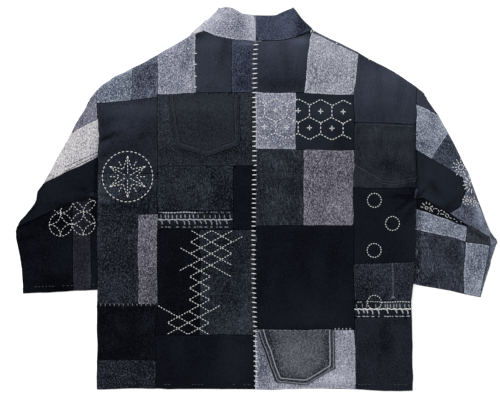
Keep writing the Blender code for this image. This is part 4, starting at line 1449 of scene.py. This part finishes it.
# %% Sew the centre back
#    height on the back, sideways place, and the number of bars down to the next row
LADDER = (
    (322.7, -1.2, 2), (302.5, -3.6, 8), (221.8, -4.4, 10), (119.9, -4.3, 10), (18.6, -5.3, 10),
    (-77.5, -6.6, 10), (-178.3, -6.0, 10), (-278.6, -3.3, 11), (-394.6, -0.9, 0),
)
ladder = []
for (from_y, from_x, bars), (to_y, to_x, _) in zip(LADDER, LADDER[1:]):
    for k in range(bars + (to_y == LADDER[-1][0])):
        bar_y = from_y + (to_y - from_y) * k / bars
        bar_x = from_x + (to_x - from_x) * k / bars
        lean = np.interp(bar_y, (-394, -200, 60, 200), (-1.1, -0.6, 0.0, 0.4))
        half = np.interp(bar_y, (-394, -60, 60, 200), (5.0, 4.9, 5.2, 5.8))
        ladder.append(((bar_x - half, bar_y - lean), (bar_x + half, bar_y + lean)))
sew("stitches_centre_ladder", jitter(ladder, 0.45, 10), 2.2, "white")

# %% [markdown]
# ## Tortoiseshell hexagons
# Kikko, the tortoiseshell pattern, is a honeycomb of hexagons with a small cross in each. It
# runs over two scraps and is cut off at their edges. Each side of a hexagon is shared with its
# neighbour, so the sides are gathered first, and doubles are dropped before sewing.

# %% Sew the hexagons
hex_low, hex_high = box_mm("back_r_hexagon_ash")[0], box_mm("back_r_hexagon_black")[1]
PITCH, SIDE_HALF, TIP = 47.1, 12.4, 24.6
first_x, first_y = hex_low.x + 42.8, hex_high.y - 35.7
centres = []
for line, shift in ((0, 0.0), (1, -0.5)):
    for column in range(-1, 5):
        across = column + shift
        centres.append((first_x + across * PITCH, first_y - 35.4 * line - 1.2 * across))
sides, crosses = {}, []
for cx, cy in centres:
    corners = [
        (cx, cy + TIP),
        (cx + PITCH / 2, cy + SIDE_HALF),
        (cx + PITCH / 2, cy - SIDE_HALF),
        (cx, cy - TIP),
        (cx - PITCH / 2, cy - SIDE_HALF),
        (cx - PITCH / 2, cy + SIDE_HALF),
    ]
    for a, b in zip(corners, corners[1:] + corners[:1]):
        key = (round((a[0] + b[0]) / 8), round((a[1] + b[1]) / 8))
        if not any((key[0] + i, key[1] + j) in sides for i in (-1, 0, 1) for j in (-1, 0, 1)):
            sides[key] = (a, b)
    for along_x in (True, False):
        for sign in (-1, 1):
            reach = Vector((5.4, 0)) if along_x else Vector((0, 5.4))
            middle = Vector((cx, cy))
            crosses.append((tuple(middle + reach * 0.12 * sign), tuple(middle + reach * sign)))
hexagon_stitches = []
for a, b in sides.values():
    upright = abs(a[0] - b[0]) < 1
    hexagon_stitches += row((a, b), 5.2 if upright else 4.0, 3.0 if upright else 2.6)
in_hexagons = {"back_r_hexagon_ash", "back_r_hexagon_black"}
inside_field = [
    pair
    for pair in hexagon_stitches + crosses
    if all(hex_low.x + 4 < p[0] < hex_high.x - 0.5 and hex_low.y + 6 < p[1] for p in pair)
]
sew("stitches_hexagons", jitter(inside_field, 0.3, 200), 1.9, "white", in_hexagons)

# %% [markdown]
# ## Rings
# Four plain rings of dashes are scattered down the right side. Each has its dashes turned a
# little from the last, or they would look stamped.

# %% Sew the rings


def ring(centre, radius, count, share=0.68, begin=0.0):
    """Stitches round a circle."""
    pairs = []
    for k in range(count):
        first = begin + 2 * math.pi * k / count
        last = first + 2 * math.pi * share / count
        ends = [
            (centre[0] + radius * math.cos(a), centre[1] + radius * math.sin(a))
            for a in (first, last)
        ]
        pairs.append(tuple(ends))
    return pairs


side_low, side_high = box_mm("back_r_side_black")
strip_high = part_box("back_r_felled_strip")[1].y / MM
ring_centres = (
    (side_low.x + 42.5, side_high.y - 26.5),
    (side_low.x + 80.5, side_high.y - 75),
    (side_low.x + 42, side_high.y - 131.5),
    (side_low.x + 42.5, strip_high - 4.5),
)
rings = []
for k, centre in enumerate(ring_centres):
    rings += ring(centre, 14.6, 17, 0.56, 0.2 * k)
sew("stitches_rings", jitter(rings, 0.3, 700), 1.7, "white")

# %% [markdown]
# ## A star in a circle
# On the left shoulder blade sits a large ring that holds a plain six-pointed star, with a few
# short rays between its points. Six spokes and the outline between their tips are straight rows,
# so a point at an angle and a distance from the centre is all that has to be worked out.

# %% Sew the star
blade_low = box_mm("back_l_blade_navy")[0]
star = Vector((blade_low.x + 63.5, blade_low.y - 5.5))
BIG = 52.8
star_stitches = ring(star, BIG, 37, 0.64)


def out_from(centre, angle, distance):
    """The point at this angle and distance from a centre."""
    turned = math.radians(angle)
    return (centre[0] + distance * math.cos(turned), centre[1] + distance * math.sin(turned))


for k in range(6):
    spoke = 30 + 60 * k
    star_stitches += row((out_from(star, spoke, 5), out_from(star, spoke, 45)), 4.0, 3.0)
    tip = out_from(star, spoke + 30, 38)
    inner = out_from(star, spoke + 30, 18)
    star_stitches += row((tip, out_from(star, spoke + 30, 25)), 3.8, 3.2)
    for side_angle in (spoke, spoke + 60):
        star_stitches += row((inner, out_from(star, side_angle, 43)), 3.8, 3.2)
sew("stitches_star", jitter(star_stitches, 0.3, 900), 1.6, "white")

# %% [markdown]
# ## Diamond lattice
# Straight rows of running stitch slant both ways and cross, and make a lattice of flat
# diamonds. It is broad at the top, narrows to a single column of diamonds, and opens again
# below, as if the maker filled a worn patch and then wandered on. The rows are written on a
# grid of half diamonds: each starts at a column and a line, and steps down to the right or to
# the left.

# %% Sew the lattice
panel_low, panel_high = box_mm("back_l_lattice_black")[0], box_mm("back_l_lattice_soot")[1]
HALF_W, HALF_H, DRAG = 21.8, 12.1, -0.33
lattice_x = panel_low.x + 75.3
lattice_y = panel_high.y - 1.7
#    column and line where a row starts, its steps, and 1 for rightwards or -1 for leftwards
LATTICE_ROWS = (
    (0, 0, 4, 1), (2, 0, 2, 1), (2, 0, 2, -1), (0, 2, 4, 1), (-1, 3, 5, 1), (4, 0, 4, -1),
    (5, 1, 6, -1), (4, 4, 4, -1), (0, 6, 2, 1), (2, 8, 2, -1), (0, 8, 2, 1), (0, 10, 2, 1),
    (2, 10, 2, -1), (0, 12, 2, 1), (2, 12, 4, -1), (3, 13, 5, -1), (-3, 13, 5, 1), (0, 14, 2, 1),
    (2, 16, 2, -1), (-2, 16, 2, 1),
)
lattice = []
for column, line, steps, way in LATTICE_ROWS:
    for step in range(steps):
        first = (column + way * step, line + step)
        last = (column + way * (step + 1), line + step + 1)
        ends = [
            (lattice_x + c * HALF_W + n * DRAG, lattice_y - n * HALF_H) for c, n in (first, last)
        ]
        lattice += row(ends, 3.8, 2.5)
sew("stitches_lattice", jitter(lattice, 0.4, 1300), 1.5, "white")

# %% [markdown]
# ## Seven treasures
# Shippo, the seven treasures, is a net of equal circles, each crossed by four neighbours, which
# leaves petals and a curved star. Two whole circles lie across the left forearm, and more
# disappear under the fold of the elbow. Sewing only where the forearm is on top cuts them off
# there.

# %% Sew the circles on the left forearm
strip_low, strip_up = box_mm("forearm_l_strip_denim")
RADIUS = 24.0
left_centre = Vector((strip_low.x - 26, strip_up.y - 68))
treasure = []
whole_circles = [left_centre, left_centre + Vector((2 * RADIUS, 2.4))]
upper_circles = [c + Vector((1.2, 2 * RADIUS + 1)) for c in whole_circles]
crossing = [
    left_centre + Vector(((2 * i - 1) * RADIUS, (2 * j - 1) * RADIUS + 1.2 * i))
    for i in range(3)
    for j in range(3)
]
for centre in whole_circles + upper_circles:
    treasure += ring(centre, RADIUS, 22, 0.58)
for centre in crossing:
    for a, b in ring(centre, RADIUS, 22, 0.58, 0.14):
        middle = Vector(((a[0] + b[0]) / 2, (a[1] + b[1]) / 2))
        if any((middle - Vector(c[:2])).length < RADIUS - 1 for c in whole_circles + upper_circles):
            treasure.append((a, b))
forearm_left = {"forearm_l_outer_black", "forearm_l_strip_denim", "forearm_l_inner_black"}
sew("stitches_treasures", jitter(treasure, 0.3, 1700), 1.2, "white", forearm_left)

# %% [markdown]
# ## Bursts
# Small flowers of radiating stitches, a ring with rays, run down the outer edge of the right
# elbow. Pieces of the same flower show on the black strip below the fold, and two faded ones on
# the bleached patch of the left sleeve.

# %% Sew the bursts


def burst(centre, inner, outer, rays, begin=0.0, length=4.8):
    """A ring of short stitches with rays around it."""
    pairs = ring(centre, inner, 7, 0.7)
    for k in range(rays):
        angle = begin + 360 * k / rays
        pairs += row(
            (out_from(centre, angle, inner + 2.5), out_from(centre, angle, outer)), length, 2.0
        )
    return pairs


elbow_high = box_mm("sleeve_r_elbow_slate")[1]
flowers = burst((elbow_high.x - 75, elbow_high.y + 3.7), 5.5, 20, 12)
flowers += burst((elbow_high.x - 51.7, elbow_high.y - 31.5), 5.5, 22, 14, 8, 8)
flowers += burst((elbow_high.x - 63.2, elbow_high.y - 66), 3, 11, 9, 5, 4)
flowers += burst((elbow_high.x - 46.4, elbow_high.y - 69), 3, 11, 9, 12, 4)
right_elbow = {"sleeve_r_elbow_slate", "sleeve_r_upper_indigo", "sleeve_r_elbow_black"}
sew("stitches_bursts", jitter(flowers, 0.5, 2300), 1.8, "white", right_elbow)
cut_flowers = burst((357, -20), 3, 15, 9, 12) + burst((375.5, -28), 7.4, 15, 13, 9)
cut_flowers += burst((400, -36), 3.5, 12, 9, 5)
cut_flowers += [((413, -43.5), (416.5, -45)), ((419, -48), (422, -49))]
cut_flowers += [((427, -48.5), (431, -49.5))]
sew("stitches_cut_bursts", jitter(cut_flowers, 0.9, 2600), 1.25, "white", {"forearm_r_top_black"})
white_low = box_mm("sleeve_l_upper_white")[0]
pale_flowers = burst((white_low.x + 37, white_low.y + 48), 4, 13, 9)
pale_flowers += burst((white_low.x + 29, white_low.y + 20), 4, 12, 8, 11)
sew("stitches_pale_bursts", pale_flowers, 1.5, "white", {"sleeve_l_upper_white"})

# %% [markdown]
# ## Felled strips
# Two strips of old jeans seam, turned on their side, are pieced into the back. In a felled seam
# the cloth puckers between two rows of machine stitching, and wear bleaches the puckers. What
# is left is a frayed wavy ridge, with bleached tabs that hang from it over dark hollows, paler
# bars above it, and a dotted row along each side. The tabs and bars are bits of bare weft, so
# short lengths of grey and white thread make them, each at its own place along the strip.

# %% Sew the felled strips
#    places of the tabs and bars along the strip and the bright stretch, in millimetres,
#    then the ridge's width, and the threads of the ridge, the tabs and the dim rows
FELLED = {
    "left": (
        (10, 26, 42, 57, 67, 79, 92, 102, 114, 125, 132, 146),
        (7, 16, 23, 31, 40, 49, 58, 67, 75, 85, 98, 110, 121, 130, 140, 152),
        (8, 78), 2.3, "bleached", "worn", "worn",
    ),
    "right": (
        (10, 21, 28.5, 39, 52, 71, 89.5, 102.5, 113.5),
        (5, 17, 26, 45, 55, 65, 70, 76, 83, 89, 96, 106, 115),
        (56, 122), 2.6, "white", "bleached", "bleached",
    ),
}


def felled(node, tabs, bars, bright):
    """The ridge, tabs, bars near the bright stretch, other bars and rows of one strip."""
    low, high = box_mm(node)
    top, level = high.y, high.y - 18.5
    noise.seed_set(len(tabs))
    ridge, hanging, upright, bright_dots, dim_dots = ([] for _ in range(5))
    x, height = low.x + 1, level
    while x < high.x - 3:
        step = 2.6 + 2.2 * noise.random()
        rise = level + 0.9 * math.sin(x / 1.95) + 0.8 * (noise.random() - 0.5)
        ridge.append(((x, height), (min(x + step, high.x - 2), rise)))
        x, height = x + step, rise
    for k, tab in enumerate(tabs):
        drop = 10 + 1.5 * math.sin(5.0 * k)
        corners = ((-6, -0.2), (-2.2, -2.0), (-0.3, -5.5), (0.3, -drop))
        places = [(low.x + tab + right, level + up) for right, up in corners]
        hanging += list(zip(places, places[1:]))
        foot = 1.2 + 2.2 * noise.random()
        dim_dots.append(((low.x + tab - foot, top - 34), (low.x + tab + foot, top - 34.3)))
    for bar in bars:
        foot = (low.x + bar + 0.8, level + 2)
        upright.append((foot, (low.x + bar, top - 8.5 + 2 * noise.random())))
    start = low.x + 3
    while start < high.x - 5:
        inside = bright[0] < start - low.x < bright[1]
        length = (2.6 if inside else 1.2) + 2.6 * noise.random()
        sag = 0.6 * math.sin(start / 9)
        dot = ((start, top - 3.5 + sag), (start + length, top - 3.5 + sag))
        if noise.random() < (0.95 if inside else 0.7):
            (bright_dots if inside else dim_dots).append(dot)
        if noise.random() < 0.35:
            dim_dots.append(((start, top - 34), (start + length, top - 34)))
        start += length + 2.0
    near = [pair for pair in upright if bright[0] < pair[0][0] - low.x < bright[1]]
    far = [pair for pair in upright if pair not in near]
    return ridge, hanging, near, far, bright_dots, dim_dots


for side, (tabs, bars, bright, width, *threads) in FELLED.items():
    node = f"back_{side[0]}_felled_strip"
    ridge, hanging, near, far, bright_dots, dim_dots = felled(node, tabs, bars, bright)
    sew(f"fray_{side}_ridge", jitter(ridge, 0.35, 41), width, threads[0], {node})
    sew(f"fray_{side}_tabs", jitter(hanging, 0.4, 43), 2.8, threads[1], {node})
    sew(f"fray_{side}_bars", jitter(near, 0.5, 47), 3.0, "worn", {node})
    sew(f"fray_{side}_thin_bars", far, 1.8, "worn", {node})
    sew(f"fray_{side}_bright_row", jitter(bright_dots, 0.4, 49), 2.6, "bleached")
    sew(f"fray_{side}_dim_rows", jitter(dim_dots, 0.3, 50), 2.0, threads[2])

# %% [markdown]
# ## Small seams
# The rest is plain mending: whip stitches over a raw edge, the hem and cuff rows, the twin rows
# round each pocket, and here and there a faded line where an older seam was unpicked.

# %% Whip stitches, hems and cuffs


def ticks(from_x, to_x, y, pitch, length):
    """Upright stitches side by side along a level seam."""
    places = [from_x + k * pitch for k in range(round((to_x - from_x) / pitch))]
    return [((x, y - length / 2), (x, y + length / 2)) for x in places]


hem_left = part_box("back_l_hem_navy")[1].y / MM
whip = ticks(cad_low.x / MM + 178, -210, hem_left, 9.5, 5.4)
sew("stitches_left_whip", jitter(whip, 0.5, 3100), 1.4, "worn")
seam_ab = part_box("back_l_yoke_navy")[0].x / MM
pale_ticks = [((seam_ab - 3, y), (seam_ab + 3.4, y + 0.6)) for y in (304, 281, 256, 233)]
sew("stitches_yoke_ticks", pale_ticks, 1.8, "white")
hem_y = cad_low.y / MM
hem_rows = []
for from_x, to_x in ((-196, -180), (-138, -112), (-52, -44), (-30, -12), (212, 240), (286, 318)):
    hem_rows += row(((from_x, hem_y + 11), (to_x, hem_y + 10.5)), 4.2, 3.2)
sew("stitches_hem", jitter(hem_rows, 0.3, 3300), 1.1, "faint")
cuff = row(((-468, -186), (-424, -184.5)), 3.8, 3.6) + row(((-410, -184), (-384, -183)), 3.8, 5)
cuff += row(((-368, -182), (-340, -181)), 3.8, 3.6) + row(((420, -186), (350, -171)), 3.8, 6)
sew("stitches_cuffs", jitter(cuff, 0.3, 3500), 1.1, "faint")

# %% [markdown]
# ## Traces of older seams
# A pocket was once sewn where the right side's coal denim is, and its edge still shows as a
# bent line with dots beside it. A few other lines show where a seam was let out. Machine
# stitches are shorter and thinner than sashiko, and some have worn away.

# %% Faded lines and dots


def dots(points, length, gap, kept, seed):
    """A running stitch with some of its stitches worn away."""
    noise.seed_set(seed)
    return [pair for pair in row(points, length, gap) if noise.random() < kept]


coal_low, coal_high = box_mm("back_r_side_coal")
first_line = ((coal_low.x + 17, coal_high.y - 4), (coal_high.x - 4, coal_high.y - 8))
second_line = ((coal_high.x - 80, coal_high.y - 7), (coal_high.x - 6, coal_high.y - 9))
coal_dots = dots(first_line, 2, 1.6, 0.55, 3) + dots(second_line, 2, 1.6, 0.8, 4)
old_pocket = [
    (coal_low.x, coal_low.y + 49),
    (coal_low.x + 30, coal_low.y + 31),
    (coal_low.x + 58, coal_low.y + 15),
    (coal_low.x + 82, coal_low.y + 11),
    (coal_high.x - 2, coal_low.y + 20),
]
sew("stitches_side_dots", coal_dots, 1.1, "faint", {"back_r_side_coal"})
sew("stitches_old_pocket_edge", row(old_pocket[:3], 3.4, 0.7), 1.1, "faint")
lower_line = [(x, y - 5.5) for x, y in old_pocket[1:]]
old_rows = row(old_pocket[2:], 3.4, 0.9) + row(lower_line, 3.4, 1.2)
sew("stitches_old_pocket_row", old_rows, 0.9, "faint")

denim_low, denim_high = box_mm("back_r_side_denim")
line_x = denim_low.x + 81
old_seam = row(((line_x, denim_high.y - 2), (line_x + 1, denim_low.y + 8)), 3.2, 0.6)
knot = (line_x + 1, denim_low.y + 9)
feet = [(knot, (line_x + 1 + spread, denim_low.y + 2)) for spread in (-5, -1.5, 2, 5.5)]
sew("stitches_side_old_seam", jitter(old_seam + feet, 0.5, 51), 1.0, "worn")

yoke_low, yoke_high = box_mm("back_l_yoke_indigo")
yoke_line = row(((yoke_low.x + 0.5, yoke_high.y - 4), (yoke_low.x + 0.5, yoke_low.y + 4)), 3.4, 1.2)
sew("stitches_yoke_line", yoke_line, 0.9, "faint")
neck = row(((36, 328.6), (64, 331), (84, 335.5), (107, 344.5)), 3.6, 1.6)
neck += row(((8, 327.5), (34, 328.2)), 3.6, 3.0)
sew("stitches_neck", neck, 1.4, "faint", {"back_r_yoke_navy"})
waist_low, waist_high = box_mm("back_l_waist_soot")
waist_line = ((waist_low.x + 3, waist_low.y + 2), (waist_high.x - 3, waist_low.y + 2))
waist = dots(waist_line, 1.8, 1.8, 0.8, 6)
sew("stitches_waist_dots", waist, 0.9, "faint")

# %% [markdown]
# ## Frayed seams
# The raw edge over the lower pocket has let go short tufts of weft. They are laid like stitches,
# at a steady pitch and then nudged, in a worn grey thread.

# %% The frayed seam over the lower pocket
hem_low, hem_high = box_mm("back_r_hem_ash")
frays = [
    ((x, hem_high.y - 1.5), (x + 2.2, hem_high.y - 1.9))
    for x in np.arange(hem_low.x + 8, hem_low.x + 164, 10.6)
]
wide_frays = [
    ((x, hem_high.y - 0.2), (x + 0.4, hem_high.y + 3.0))
    for x in np.arange(hem_low.x + 167, hem_high.x - 2, 7.9)
]
sew("fray_pocket_seam", jitter(frays, 0.9, 53), 2.0, "worn")
sew("fray_pale_seam", jitter(wide_frays, 0.6, 57), 3.6, "worn")

# %% [markdown]
# ## Sleeve and shoulder seams
# Three rows of dark topstitching, from a jeans leg, run up the bleached patch of the left
# sleeve. A few single white stitches hold down the slip along the right shoulder.

# %% Seams on the left sleeve and the shoulders
felled_rows = []
for from_point, to_point in (
    ((-404, 65), (-334, 97)),
    ((-402, 57), (-334, 90.5)),
    ((-420, 40), (-336, 84)),
):
    felled_rows += row((from_point, to_point), 5.5, 0.9)
sew("stitches_sleeve_rows", jitter(felled_rows, 0.25, 61), 2.0, "dusk", {"sleeve_l_upper_white"})
slip = [
    ((117, 350.5), (121, 351.5)),
    ((166, 324.5), (169.5, 327)),
    ((175, 320), (179, 319)),
    ((224, 298), (227, 300)),
    ((234.5, 293), (238, 291.5)),
    ((259.5, 279.5), (263, 281)),
]
sew("stitches_shoulder_slip", slip, 1.8, "white")

# %% [markdown]
# ## Dress every scrap
# With the cloths mixed, each scrap takes the one its solid names, and its flat size along and
# across the grain is worked out.

# %% Give each scrap its cloth


def flat_cut(obj, node):
    """The flat width and length of a scrap and its area, in metres."""
    across = [v.vector.x for v in obj.data.attributes["grain"].data]
    along = [v.vector.y for v in obj.data.attributes["grain"].data]
    area = sum(p.area for p in obj.data.polygons)
    if node in collar_halves:
        area /= 2
    return max(across) - min(across), max(along) - min(along), area


for node, piece in cloths.items():
    piece.data.materials.clear()
    piece.data.materials.append(own_cloth.get(node, card[cloth_of[node]]))
for node in top_scraps + forearm_scraps + pockets + fronts + under_cloths:
    width, length, area = flat_cut(cloths[node], node)
    area = min(area, width * length)
for node in collar_halves:
    width, length, area = flat_cut(cloths[node], node)
    print(f"{node}: {width * 1000:.0f} by {length * 1000:.0f} mm, {area * 1e4:.0f} square cm")
print("every scrap is dressed")

# %% [markdown]
# ## Table, light and camera
# The jacket lies on a white table under even light, as a shop shows its goods. A bright, pale
# surround lights it from all sides, and one big soft lamp from the upper left brings out the
# creases. The camera hangs straight above the middle.

# %% Set the stage
TABLE_SIZE, TABLE_DROP = 14, 0.4 * MM
LAMP_AT = (-1.5, 1.3, 1.9)
CAMERA_AT = (-14.2 * MM, -3.4 * MM, 2.917 + 6 * MM)
floor_shape = bmesh.new()
bmesh.ops.create_grid(floor_shape, x_segments=1, y_segments=1, size=TABLE_SIZE)
bmesh.ops.translate(floor_shape, verts=floor_shape.verts, vec=(0, 0, -TABLE_DROP))
floor_mesh = bpy.data.meshes.new("table")
floor_shape.to_mesh(floor_mesh)
floor = bpy.data.objects.new("table", floor_mesh)
bpy.context.scene.collection.objects.link(floor)
paper = Bench("white table")
grainy = paper.speckle(paper.add("ShaderNodeTexCoord").outputs["Object"], 40.0, 2.0)
paper.coat(grainy, (0.93, 0.93, 0.93), (0.95, 0.95, 0.95))
white = (1, 1, 1, 1)
paper.finish(Roughness=0.9, Specular_IOR_Level=0.1)
paper.finish(Emission_Color=white, Emission_Strength=0.45)
floor_mesh.materials.append(paper.material)

world = bpy.data.worlds.new("white room")
world.use_nodes = True
surround = world.node_tree.nodes["Background"]
surround.inputs["Color"].default_value = white
surround.inputs["Strength"].default_value = 0.68
bpy.context.scene.world = world

lamp_data = bpy.data.lights.new("soft lamp", "AREA")
lamp_data.shape = "SQUARE"
lamp_data.size = 1.4
lamp_data.energy = 40
lamp = bpy.data.objects.new("soft lamp", lamp_data)
lamp.location = LAMP_AT
lamp.rotation_euler = (-lamp.location).to_track_quat("-Z", "Y").to_euler()
bpy.context.scene.collection.objects.link(lamp)

camera_data = bpy.data.cameras.new("camera")
camera_data.lens = 100
camera_data.sensor_width = 36
camera = bpy.data.objects.new("camera", camera_data)
camera.location = CAMERA_AT
bpy.context.scene.collection.objects.link(camera)
bpy.context.scene.camera = camera
bpy.context.scene.view_settings.view_transform = "Standard"
print("the camera is 2.9 m above the table")
